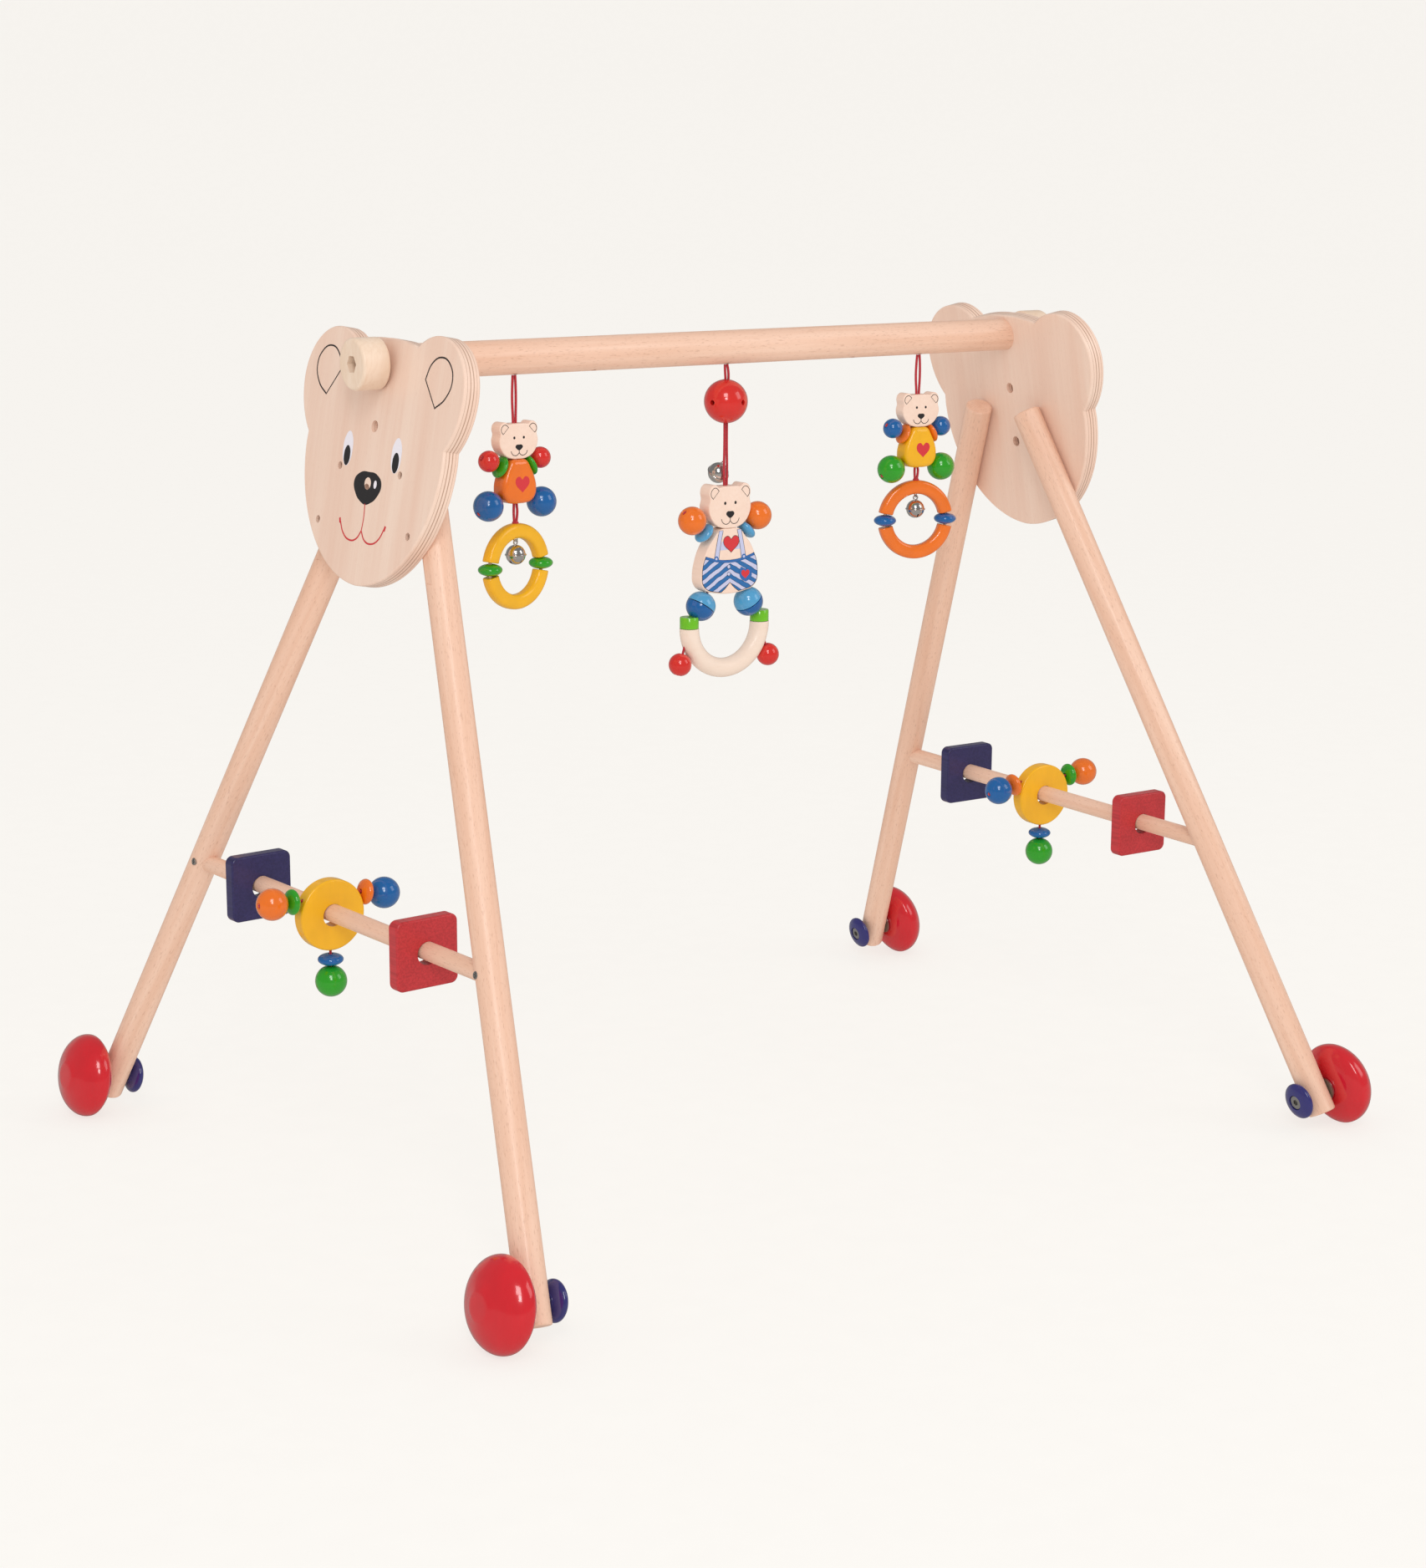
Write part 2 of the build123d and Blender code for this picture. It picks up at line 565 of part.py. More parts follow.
def limb(side, root, direction, pieces):
    """Beads threaded outwards from a root (out, down); pieces are (kind, radius, thickness).

    Returns the beads, their cord with its end knot, and the hole the cord needs in the body.
    """
    outward = Vector(side * direction[0], 0, direction[1]).normalized()
    start = Vector(side * root[0], 0, -root[1])
    inner_end = start - outward * LIMB_HOLE_DEPTH
    at = start
    beads = []
    for kind, radius, thickness in pieces:
        centre = at + outward * (thickness / 2)
        if kind == "lens":
            beads.append(lens_at(centre, radius, thickness, outward))
        else:
            beads.append(ball_at(centre, radius, outward))
        at = at + outward * (thickness + BEAD_GAP)
    knot = at + outward * (KNOT_RADIUS / 2)
    return beads, knotted_cord(inner_end, knot), between(inner_end, start, CORD_BORE_RADIUS)


def side_toy_limbs(top):
    """Arms that slant up from under the head and legs that slant down from the body."""
    arm = [("lens", ARM_LENS_RADIUS, ARM_LENS_THICKNESS), ("ball", ARM_BALL_RADIUS, 2 * ARM_BALL_RADIUS)]
    leg_ball = [("ball", LEG_BALL_RADIUS, 2 * LEG_BALL_RADIUS)]
    beads = []
    cords = []
    holes = []
    for side in (-1, 1):
        for (out, down), direction, pieces in (
                (SIDE_ARM_ROOT, SIDE_ARM_DIRECTION, arm), (SIDE_LEG_ROOT, SIDE_LEG_DIRECTION, leg_ball)):
            threaded, cord, hole = limb(side, (out, top + down), direction, pieces)
            beads += threaded
            cords.append(cord)
            holes.append(hole)
    return beads, cords, holes


def ring_arc(upper):
    """Half of the wooden ring: a rounded section swept from gap to gap."""
    middle = RING_RADIUS - RING_WIDTH / 2
    section = fillet(Rectangle(RING_WIDTH, RING_DEPTH).vertices(), RING_DEPTH * 0.42)
    ring = revolve(Plane.XZ * (Pos(middle, 0) * section), Axis.Z)
    ring = Rot(90, 0, 0) * ring
    keep = Pos(0, 0, RING_RADIUS + RING_GAP / 2) * Box(3 * RING_RADIUS, 3 * RING_DEPTH, 2 * RING_RADIUS)
    half = ring & keep
    for side in (-1, 1):
        half -= ring_pin(side)
    if upper:
        half -= Pos(0, 0, RING_RADIUS) * Sphere(RING_SOCKET_RADIUS)
        half -= ring_eye()
        return half
    return mirror(half, about=Plane.XY)


def ring_pin(side):
    middle = RING_RADIUS - RING_WIDTH / 2
    reach = RING_GAP
    return between((side * middle, 0, -reach), (side * middle, 0, reach), RING_PIN_RADIUS)


def ring_eye():
    """A wire staple on the inside of the ring's top, which carries the bell."""
    inside = RING_RADIUS - RING_WIDTH
    corners = [Vector(0, side * BELL_EYE_RADIUS, inside - STAPLE_DROP) for side in (-1, 1)]
    staple = between(corners[0], corners[1], BELL_WIRE_RADIUS)
    for corner in corners:
        driven_end = corner + Vector(0, 0, STAPLE_DROP + STAPLE_DEPTH)
        staple += between(corner, driven_end, BELL_WIRE_RADIUS) + Pos(*corner) * Sphere(BELL_WIRE_RADIUS)
    return staple


def ring_bead(side):
    middle = RING_RADIUS - RING_WIDTH / 2
    bore = RING_PIN_RADIUS + RUNNING_CLEARANCE
    return lens_at((side * middle, 0, 0), RING_BEAD_RADIUS, RING_BEAD_THICKNESS, (0, 0, 1), bore)


def bell(radius, eye_centre):
    """A thin shell with cross slots, a loose pea inside it and a wire eye on top."""
    middle = Vector(*eye_centre) - Vector(0, 0, BELL_EYE_RADIUS + radius)
    shell = Sphere(radius) - Sphere(radius - BELL_WALL)
    belt = Torus(radius, BELL_WALL)
    slot = Pos(0, 0, -radius) * Box(2 * radius, 1.0, radius)
    cross = slot + Rot(0, 0, 90) * slot
    mouths = [
        Pos(side * radius * 0.62, 0, -radius * 0.62) * Rot(0, -side * 45, 0) * Cylinder(1.0, radius)
        for side in (-1, 1)]
    shell = shell + belt - cross
    for mouth in mouths:
        shell -= mouth
    shell = Pos(*middle) * shell
    eye = Pos(*eye_centre) * Rot(90, 0, 0) * Torus(BELL_EYE_RADIUS, BELL_WIRE_RADIUS)
    pea = Pos(*middle) * Pos(0, 0, -radius * 0.42) * Sphere(radius * 0.3)
    return [shell + eye, pea]


def side_toy(name, x, turn, ring_turn, head_top, ring_top):
    """A little bear on a cord, with a ring, two ring beads and a bell below it."""
    place = toy_location(x, turn)
    head_height = SMALL_HEAD[1]
    torso_top = head_top + head_height + BEAD_GAP
    beads, limb_cords, limb_holes = side_toy_limbs(torso_top)
    torso = side_torso(torso_top)
    for hole in limb_holes:
        torso -= hole
    main_cord = strands(CROSSBAR_DIAMETER / 2, ring_top - KNOT_RADIUS)
    main_cord.append(Pos(0, 0, -ring_top) * Sphere(KNOT_RADIUS))
    save(f"{name}_head", [place * bear_head(SMALL_HEAD, head_top)])
    save(f"{name}_torso", [place * torso])
    save(f"{name}_limb_beads", [place * bead for bead in beads])
    save(f"{name}_cord", [place * cord for cord in main_cord + limb_cords])

    ring_place = toy_location(x, ring_turn) * Pos(0, 0, -ring_top - RING_RADIUS)
    fittings = [ring_pin(-1), ring_pin(1), ring_eye()]
    save(f"{name}_ring", [ring_place * piece for piece in [ring_arc(True), ring_arc(False)] + fittings])
    for side, word in ((-1, "left"), (1, "right")):
        save(f"{name}_ring_bead_{word}", [ring_place * ring_bead(side)])
    eye_bar = RING_RADIUS - RING_WIDTH - STAPLE_DROP
    eye_centre = (0, 0, eye_bar - BELL_EYE_RADIUS + 2 * BELL_WIRE_RADIUS + HANG_GAP)
    save(f"{name}_bell", [ring_place * piece for piece in bell(BELL_RADIUS, eye_centre)])


def centre_torso():
    """A flat body that widens downwards, facing -Y."""
    shoulder = ThreePointArc((9, 0), (18.6, 12.5), (24.4, 32))
    hip = ThreePointArc((24.4, 32), (21.6, 40.6), (13, 44.2))
    hem = ThreePointArc((13, 44.2), (6.5, 45.2), (0, 45.5))
    half = [Line((0, 0), (9, 0)), shoulder, hip, hem]
    face = make_face(half + [mirror(edge, about=Plane.YZ) for edge in half])
    body = extrude(Plane.XZ * mirror(face, about=Plane.XZ), amount=CENTRE_TORSO_THICKNESS)
    body = Pos(0, CENTRE_TORSO_THICKNESS / 2, -CENTRE_TORSO_TOP) * body
    body -= between((0, 0, 0), (0, 0, -CENTRE_TORSO_TOP - CENTRE_TORSO_BORE), TOY_TUNNEL_RADIUS)
    for side in (-1, 1):
        route = leg_route(side)
        body -= between(route[0], route[1], CORD_BORE_RADIUS)
    _, _, arm_holes = centre_arms()
    for hole in arm_holes:
        body -= hole
    return body


def leg_route(side):
    """The leg cord: torso, leg ball, collar, through the half ring's end, end ball."""
    ball_x, ball_drop, _ = CENTRE_LEG_BALL
    angle = radians(END_BALL_ANGLE)
    reach = HALF_RING_RADIUS + HALF_RING_TUBE + END_BALL_RADIUS + BEAD_GAP
    end_ball = Vector(side * reach * cos(angle), 0, -HALF_RING_DROP - reach * sin(angle))
    collar = Vector(side * (HALF_RING_RADIUS - 1), 0, -HALF_RING_DROP + COLLAR_LENGTH * 0.4)
    return [
        Vector(side * CENTRE_LEG_HOLE[0], 0, -CENTRE_TORSO_TOP - CENTRE_LEG_HOLE[1]),
        Vector(side * ball_x, 0, -ball_drop),
        collar,
        end_ball,
        end_ball + (end_ball - collar).normalized() * (END_BALL_RADIUS + KNOT_RADIUS / 2)]


def centre_leg_beads():
    beads = []
    for side in (-1, 1):
        root, ball, collar, end_ball, _ = leg_route(side)
        leg_ball = ball_at(ball, CENTRE_LEG_BALL[2], collar - root)
        leg_ball -= between(root, ball, CORD_BORE_RADIUS) + between(ball, collar, CORD_BORE_RADIUS)
        beads.append(leg_ball)
        beads.append(collar_bead(side))
        beads.append(ball_at(end_ball, END_BALL_RADIUS, end_ball - collar))
    return beads


def collar_bead(side):
    """A short sleeve on the half ring's end, cut at a slant to face the leg ball."""
    foot = Vector(side * HALF_RING_RADIUS, 0, -HALF_RING_DROP + BEAD_GAP)
    sleeve = between(foot, foot + Vector(0, 0, COLLAR_LENGTH), COLLAR_RADIUS)
    _, ball, collar, end_ball, _ = leg_route(side)
    facing = (collar - ball).normalized()
    size = 6 * COLLAR_RADIUS
    cut_distance = CENTRE_LEG_BALL[2] + BEAD_GAP
    waste_plane = Plane(origin=ball + facing * cut_distance, z_dir=facing)
    waste = waste_plane.location * Pos(0, 0, -size / 2) * Box(size, size, size)
    bores = between(ball, collar, CORD_BORE_RADIUS) + between(collar, end_ball, CORD_BORE_RADIUS)
    return sleeve - waste - bores - Pos(*collar) * Sphere(CORD_BORE_RADIUS)


def centre_arms():
    beads = []
    cords = []
    holes = []
    out, down = CENTRE_ARM_ROOT
    arm = [
        ("lens", CENTRE_ARM_LENS_RADIUS, CENTRE_ARM_LENS_THICKNESS),
        ("ball", CENTRE_ARM_BALL_RADIUS, 2 * CENTRE_ARM_BALL_RADIUS)]
    for side in (-1, 1):
        threaded, cord, hole = limb(side, (out, CENTRE_TORSO_TOP + down), CENTRE_ARM_DIRECTION, arm)
        beads += threaded
        cords.append(cord)
        holes.append(hole)
    return beads, cords, holes


def half_ring():
    ring = Rot(90, 0, 0) * Torus(HALF_RING_RADIUS, HALF_RING_TUBE)
    size = 4 * HALF_RING_RADIUS
    ring = Pos(0, 0, -HALF_RING_DROP) * (ring - Pos(0, 0, size / 2) * Box(size, size, size))
    for side in (-1, 1):
        _, _, collar, end_ball, _ = leg_route(side)
        ring -= between(collar, end_ball, CORD_BORE_RADIUS)
    return ring


def leg_cord(side):
    route = leg_route(side)
    cord = knotted_cord(route[-2], route[-1])
    for start, end in zip(route[:-2], route[1:-1]):
        cord += between(start, end, CORD_RADIUS) + Pos(*end) * Sphere(CORD_RADIUS)
    return cord


def top_bead():
    middle = Vector(0, 0, -TOP_BEAD_DROP)
    bead = ball_at(middle, TOP_BEAD_RADIUS, (0, 0, 1), TOY_TUNNEL_RADIUS)
    for turn in (TOP_BEAD_CROSS_TURN, TOP_BEAD_CROSS_TURN + 90):
        reach = Vector(cos(radians(turn)), sin(radians(turn)), 0) * (TOP_BEAD_RADIUS + 1)
        bead -= between(middle - reach, middle + reach, TOP_BEAD_CROSS_RADIUS)
    return bead


def centre_toy(name):
    """The middle bear in shorts, strung below a big bead and holding a half ring."""
    place = toy_location(CORD_HOLE_POSITIONS[2], CENTRE_TURN)
    arm_beads, arm_cords, _ = centre_arms()
    beads = arm_beads + centre_leg_beads()
    main_cord = strands(CROSSBAR_DIAMETER / 2, CENTRE_TORSO_TOP + CENTRE_TORSO_BORE - HANG_GAP)
    leg_cords = [leg_cord(side) for side in (-1, 1)]
    save(f"{name}_cord", [place * cord for cord in main_cord + arm_cords + leg_cords])
    save(f"{name}_top_bead", [place * top_bead()])
    save(f"{name}_head", [place * bear_head(LARGE_HEAD, CENTRE_HEAD_TOP)])
    save(f"{name}_torso", [place * centre_torso()])
    save(f"{name}_limb_beads", [place * bead for bead in beads])
    save(f"{name}_half_ring", [place * half_ring()])
    swing = Pos(*CENTRE_BELL_EYE) * Rot(CENTRE_BELL_REST, 0, 0)
    save(f"{name}_bell", [place * swing * piece for piece in bell(CENTRE_BELL_RADIUS, (0, 0, 0))])


def main():
    os.makedirs("parts", exist_ok=True)
    save("crossbar", [crossbar()])
    save("crossbar_inserts", [threaded_insert(), mirror(threaded_insert(), about=Plane.YZ)])
    save("right_knob", [knob()])
    save("left_knob", [mirror(knob(), about=Plane.YZ)])
    save("right_knob_bolt", [knob_bolt()])
    save("left_knob_bolt", [mirror(knob_bolt(), about=Plane.YZ)])
    fasteners = frame_screws() + [washer(-1), washer(1)]
    save("frame_fasteners", [on_side(piece) for on_side in (on_left, on_right) for piece in fasteners])
    for end, on_side in (("left", on_left), ("right", on_right)):
        save(f"{end}_bear_plate", [on_side(bear_plate())])
        save(f"{end}_rail", [on_side(drilled_rail())])
        for side, word in ((-1, "front"), (1, "back")):
            save(f"{end}_{word}_leg", [on_side(leg(side))])
            save(f"{end}_{word}_wheel", [on_side(foot_ball(side))])
            save(f"{end}_{word}_hub_disc", [on_side(hub_disc(side))])
            save(f"{end}_{word}_axle_screw", [on_side(axle_screw(side))])
        save(f"{end}_blue_square", [on_side(square_shape(BLUE_SQUARE_Y))])
        save(f"{end}_red_square", [on_side(square_shape(RED_SQUARE_Y))])
        save(f"{end}_spinner_disc", [on_side(spinner_disc())])
        save(f"{end}_spinner_beads", [on_side(bead) for bead in spinner_beads()])
        save(f"{end}_spinner_cords", [on_side(cord) for cord in spinner_cords()])
    side_toy("left_toy", CORD_HOLE_POSITIONS[0], turn=5.0, ring_turn=13.0, head_top=41.4, ring_top=108.4)
    side_toy("right_toy", CORD_HOLE_POSITIONS[4], turn=-5.0, ring_turn=-17.0, head_top=38.5, ring_top=101.8)
    centre_toy("centre_toy")


if __name__ == "__main__":
    main()
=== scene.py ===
"""Looks of the wooden play gym, in metres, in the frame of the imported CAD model.

The dowels, plates, knobs, foot balls, squares, discs, bells, screws and the centre toy's red top bead
keep their CAD shapes and get new materials. The hanging toys' wood, the other beads, the cords, the
staples and the printed faces are made here.
"""
import json
from math import cos, pi, radians, sin

import bpy
from mathutils import Euler, Matrix, Vector


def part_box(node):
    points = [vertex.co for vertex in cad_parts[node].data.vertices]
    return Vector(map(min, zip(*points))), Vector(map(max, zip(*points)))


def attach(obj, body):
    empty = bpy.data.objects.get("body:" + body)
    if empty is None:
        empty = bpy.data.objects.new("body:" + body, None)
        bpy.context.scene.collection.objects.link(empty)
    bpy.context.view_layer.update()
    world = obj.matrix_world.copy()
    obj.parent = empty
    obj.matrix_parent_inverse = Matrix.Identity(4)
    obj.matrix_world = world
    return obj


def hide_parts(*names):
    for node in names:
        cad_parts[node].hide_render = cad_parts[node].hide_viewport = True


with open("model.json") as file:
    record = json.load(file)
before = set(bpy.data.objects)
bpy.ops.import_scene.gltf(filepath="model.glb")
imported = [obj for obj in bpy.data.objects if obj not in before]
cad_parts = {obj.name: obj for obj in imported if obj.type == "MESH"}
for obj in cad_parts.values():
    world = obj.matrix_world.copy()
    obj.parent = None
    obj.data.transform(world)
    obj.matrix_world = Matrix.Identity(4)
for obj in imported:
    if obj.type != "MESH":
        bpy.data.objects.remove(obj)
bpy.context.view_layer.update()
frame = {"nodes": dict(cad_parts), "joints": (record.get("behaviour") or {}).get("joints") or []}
nodes = frame["nodes"]
joints = {joint["name"]: joint for joint in frame["joints"]}

MM = 0.001
SIDES = {"left": -1, "right": 1}
PLATE_THICKNESS = 12 * MM
PLATE_FACE_DISTANCE = 21.5 * MM     # from the plane of the legs to the outer face of a plate
HUB = Vector(joints["right_knob_turn"]["pos_m"])
HUB.x = 244.4 * MM              # where the crossbar's axis meets the plane of the right legs
OUTWARD = Vector(joints["right_front_wheel_spin"]["axis"])
BACKWARD = Vector(joints["right_red_square_spin"]["axis"])
UPWARD = OUTWARD.cross(BACKWARD)


# ---------------------------------------------------------------- places

def placed(origin, x_axis, y_axis, z_axis):
    """A matrix from its origin and three unit axes."""
    turn = Matrix((x_axis, y_axis, z_axis)).transposed().to_4x4()
    return Matrix.Translation(origin) @ turn


def mirrored(vector):
    return Vector((-vector.x, vector.y, vector.z))


def plate_face(end):
    """The outer face of a bear plate as seen from outside: x to the right, y up, z out of the wood."""
    if end == "right":
        return placed(HUB + OUTWARD * PLATE_FACE_DISTANCE, BACKWARD, UPWARD, OUTWARD)
    out = mirrored(OUTWARD)
    return placed(mirrored(HUB) + out * PLATE_FACE_DISTANCE, -mirrored(BACKWARD), mirrored(UPWARD), out)


def toy_place(toy, turn=0.0):
    """Under a cord hole, with z measured from the crossbar's axis and the front towards -Y."""
    mouth = Vector(joints[f"{toy}_swing"]["pos_m"])
    mouth.z = HUB.z
    return Matrix.Translation(mouth) @ Matrix.Rotation(radians(turn), 4, "Z")


def printed_on(place, thickness):
    """The front of a flat toy piece: x to its right, y up, z towards the viewer."""
    front = Vector((0, -thickness / 2, 0))
    return place @ placed(front, Vector((1, 0, 0)), Vector((0, 0, 1)), Vector((0, -1, 0)))


def along(origin, direction):
    """A place whose z axis runs along a direction."""
    turn = Vector(direction).to_track_quat("Z", "Y").to_matrix().to_4x4()
    return Matrix.Translation(Vector(origin)) @ turn


# ---------------------------------------------------------------- materials

def add(tree, kind, inputs=None, **settings):
    """A shader node with its inputs set or linked and its settings made."""
    node = tree.nodes.new(kind)
    for name, value in settings.items():
        setattr(node, name, value)
    for name, value in (inputs or {}).items():
        if isinstance(value, bpy.types.NodeSocket):
            tree.links.new(value, node.inputs[name])
        else:
            node.inputs[name].default_value = value
    return node


def new_material(name, roughness, coat=0.0, metallic=0.0):
    material = bpy.data.materials.new(name)
    material.use_nodes = True
    shader = material.node_tree.nodes["Principled BSDF"]
    shader.inputs["Roughness"].default_value = roughness
    shader.inputs["Metallic"].default_value = metallic
    shader.inputs["Coat Weight"].default_value = coat
    shader.inputs["Coat Roughness"].default_value = 0.06
    return material, material.node_tree, shader


def coordinates(tree, grain=(0, 0, 1), stretch=(1, 1, 1), offset=(0, 0, 0)):
    """Object coordinates turned so that z runs along the grain, then scaled."""
    source = add(tree, "ShaderNodeTexCoord").outputs["Object"]
    turn = Vector(grain).rotation_difference(Vector((0, 0, 1))).to_euler()
    upright = add(tree, "ShaderNodeMapping", {"Vector": source, "Rotation": turn, "Location": offset})
    scaled = add(tree, "ShaderNodeMapping", {"Vector": upright.outputs["Vector"], "Scale": stretch})
    return scaled.outputs["Vector"]


def noise(tree, vector, scale, detail=2.0, roughness=0.5):
    return add(tree, "ShaderNodeTexNoise", {
        "Vector": vector, "Scale": scale, "Detail": detail, "Roughness": roughness}).outputs["Fac"]


def ramp(tree, factor, stops, interpolation="LINEAR"):
    """A colour ramp; stops are (position, grey value or colour)."""
    node = add(tree, "ShaderNodeValToRGB", {"Fac": factor})
    node.color_ramp.interpolation = interpolation
    elements = node.color_ramp.elements
    while len(elements) < len(stops):
        elements.new(1.0)
    for element, (position, value) in zip(elements, stops):
        colour = value if isinstance(value, tuple) else (value, value, value)
        element.position = position
        element.color = (*colour, 1.0)
    return node.outputs["Color"]


def mix(tree, factor, first, second):
    node = add(tree, "ShaderNodeMix", {0: factor}, data_type="RGBA")
    for index, value in ((6, first), (7, second)):
        if isinstance(value, bpy.types.NodeSocket):
            tree.links.new(value, node.inputs[index])
        else:
            node.inputs[index].default_value = (*value, 1.0)
    return node.outputs[2]


def bump(tree, shader, height, strength, distance):
    node = add(tree, "ShaderNodeBump", {"Height": height, "Strength": strength, "Distance": distance})
    tree.links.new(node.outputs["Normal"], shader.inputs["Normal"])


def beech(name, grain, offset):
    """Pinkish beech: soft streaks and the short dark flecks that all beech shows along its grain."""
    material, tree, shader = new_material(name, 0.42, coat=0.12)
    streaks = noise(tree, coordinates(tree, grain, (160, 160, 5), offset), 1.0, 4.0, 0.6)
    bands = noise(tree, coordinates(tree, grain, (38, 38, 2.2), offset), 1.0, 2.0)
    flecks = noise(tree, coordinates(tree, grain, (1500, 1500, 260), offset), 1.0, 1.0)
    marks = noise(tree, coordinates(tree, grain, (55, 55, 9), offset), 1.0, 1.0)
    wood = mix(tree, bands, (0.82, 0.51, 0.37), (0.90, 0.63, 0.49))
    wood = mix(tree, ramp(tree, streaks, [(0.35, 0.55), (0.65, 0.0)]), wood, (0.74, 0.42, 0.28))
    fleck_mask = ramp(tree, flecks, [(0.60, 0.0), (0.72, 0.32)])
    wood = mix(tree, fleck_mask, wood, (0.42, 0.20, 0.11))
    wood = mix(tree, ramp(tree, marks, [(0.76, 0.0), (0.80, 0.5)]), wood, (0.45, 0.22, 0.10))
    tree.links.new(wood, shader.inputs["Base Color"])
    bump(tree, shader, fleck_mask, 0.25, 0.0001)
    return material


def plywood(name, face):
    """Pale plywood: five plies across the thickness and a broad upright grain on the faces."""
    material, tree, shader = new_material(name, 0.4, coat=0.15)
    source = add(tree, "ShaderNodeTexCoord").outputs["Object"]
    back = face.inverted()
    local = add(tree, "ShaderNodeMapping", {
        "Vector": source, "Rotation": back.to_euler(),
        "Location": back.to_translation()}).outputs["Vector"]
    depth = add(tree, "ShaderNodeSeparateXYZ", {"Vector": local}).outputs["Z"]
    layer = add(tree, "ShaderNodeMapRange", {
        "Value": depth, "From Min": -PLATE_THICKNESS, "From Max": 0.0}).outputs["Result"]

    def stretched(*scale):
        return add(tree, "ShaderNodeMapping", {"Vector": local, "Scale": scale}).outputs["Vector"]

    broad = noise(tree, stretched(42, 3.2, 42), 1.0, 3.0, 0.55)
    fine = noise(tree, stretched(420, 14, 420), 1.0, 3.0, 0.6)
    pores = noise(tree, stretched(1600, 220, 1600), 1.0, 1.0)
    bands = ramp(tree, broad, [(0.3, 0.0), (0.7, 1.0)])
    veneer = mix(tree, bands, (0.82, 0.56, 0.44), (0.88, 0.67, 0.55))
    veneer = mix(tree, ramp(tree, fine, [(0.3, 0.2), (0.6, 0.0)]), veneer, (0.76, 0.49, 0.37))
    veneer = mix(tree, ramp(tree, pores, [(0.64, 0.0), (0.72, 0.15)]), veneer, (0.55, 0.31, 0.19))
    plies = ramp(tree, layer, [
        (0.0, 0.0), (0.20, 0.7), (0.23, 0.0), (0.38, 0.8), (0.44, 0.0), (0.58, 0.8), (0.64, 0.0),
        (0.79, 0.7), (0.82, 0.0)], "CONSTANT")
    wood = mix(tree, plies, veneer, (0.40, 0.22, 0.14))
    tree.links.new(wood, shader.inputs["Base Color"])
    bump(tree, shader, fine, 0.15, 0.0001)
    return material


def natural_wood(name, grain, light=(0.93, 0.73, 0.62), dark=(0.85, 0.62, 0.50)):
    """Pale maple or lime with a faint straight grain, for the turned and sawn toy pieces."""
    material, tree, shader = new_material(name, 0.38, coat=0.2)
    lines = noise(tree, coordinates(tree, grain, (420, 420, 22)), 1.0, 4.0, 0.6)
    clouds = noise(tree, coordinates(tree, grain, (60, 60, 12)), 1.0, 2.0)
    wood = mix(tree, clouds, dark, light)
    wood = mix(tree, ramp(tree, lines, [(0.35, 0.5), (0.62, 0.0)]), wood, dark)
    tree.links.new(wood, shader.inputs["Base Color"])
    bump(tree, shader, lines, 0.1, 0.0001)
    return material


def lacquer(name, colour, roughness=0.2, coat=1.0):
    """Sprayed gloss lacquer: thin over the grain, so it is a little uneven in depth and surface."""
    material, tree, shader = new_material(name, roughness, coat)
    clouds = noise(tree, coordinates(tree, stretch=(70, 70, 70)), 1.0, 2.0)
    grain = noise(tree, coordinates(tree, stretch=(300, 300, 40)), 1.0, 3.0)
    deep = tuple(channel * 0.82 for channel in colour)
    coating = mix(tree, clouds, deep, colour)
    coating = mix(tree, ramp(tree, grain, [(0.3, 0.25), (0.55, 0.0)]), coating, deep)
    tree.links.new(coating, shader.inputs["Base Color"])
    bump(tree, shader, grain, 0.06, 0.0002)
    return material


def stained(name, colour, dark, grain):
    """Transparent satin stain that lets the lines of the grain through."""
    material, tree, shader = new_material(name, 0.38, coat=0.25)
    lines = noise(tree, coordinates(tree, grain, (700, 700, 30)), 1.0, 4.0, 0.65)
    clouds = noise(tree, coordinates(tree, grain, (70, 70, 15)), 1.0, 2.0)
    stain = mix(tree, clouds, tuple(channel * 0.85 for channel in colour), colour)
    stain = mix(tree, ramp(tree, lines, [(0.38, 0.5), (0.6, 0.0)]), stain, dark)
    tree.links.new(stain, shader.inputs["Base Color"])
    bump(tree, shader, lines, 0.2, 0.0001)
    return material


def metal(name, colour, roughness):
    material, tree, shader = new_material(name, roughness, metallic=1.0)
    marks = noise(tree, coordinates(tree, stretch=(900, 900, 900)), 1.0, 3.0)
    darker = tuple(channel * 0.85 for channel in colour)
    tree.links.new(mix(tree, marks, darker, colour), shader.inputs["Base Color"])
    bump(tree, shader, marks, 0.04, 0.0001)
    return material


def braid(name, colour):
    """Round braided cord: a fine diagonal weave along its length, its grooves darkened with painted
    shade.
    """
    material, tree, shader = new_material(name, 0.7)
    shader.inputs["Sheen Weight"].default_value = 0.4
    cells = add(tree, "ShaderNodeTexVoronoi", {
        "Vector": coordinates(tree, stretch=(1.6, 1.6, 1.0)), "Scale": 1500.0}).outputs["Distance"]
    groove_shade = ramp(tree, cells, [(0.1, 0.0), (0.8, 1.0)])
    # painted shade: the grooves between the strands are darkened to 0.55 of the cord's colour
    weave = mix(tree, groove_shade, colour, tuple(channel * 0.55 for channel in colour))
    tree.links.new(weave, shader.inputs["Base Color"])
    bump(tree, shader, cells, 0.5, -0.0002)
    return material


def ink(name, colour):
    """Screen-printed ink, slightly uneven."""
    material, tree, shader = new_material(name, 0.45)
    grain = noise(tree, coordinates(tree, stretch=(900, 900, 900)), 1.0, 2.0)
    paler = tuple(min(1.0, channel * 1.1 + 0.012) for channel in colour)
    tree.links.new(mix(tree, grain, colour, paler), shader.inputs["Base Color"])
    return material


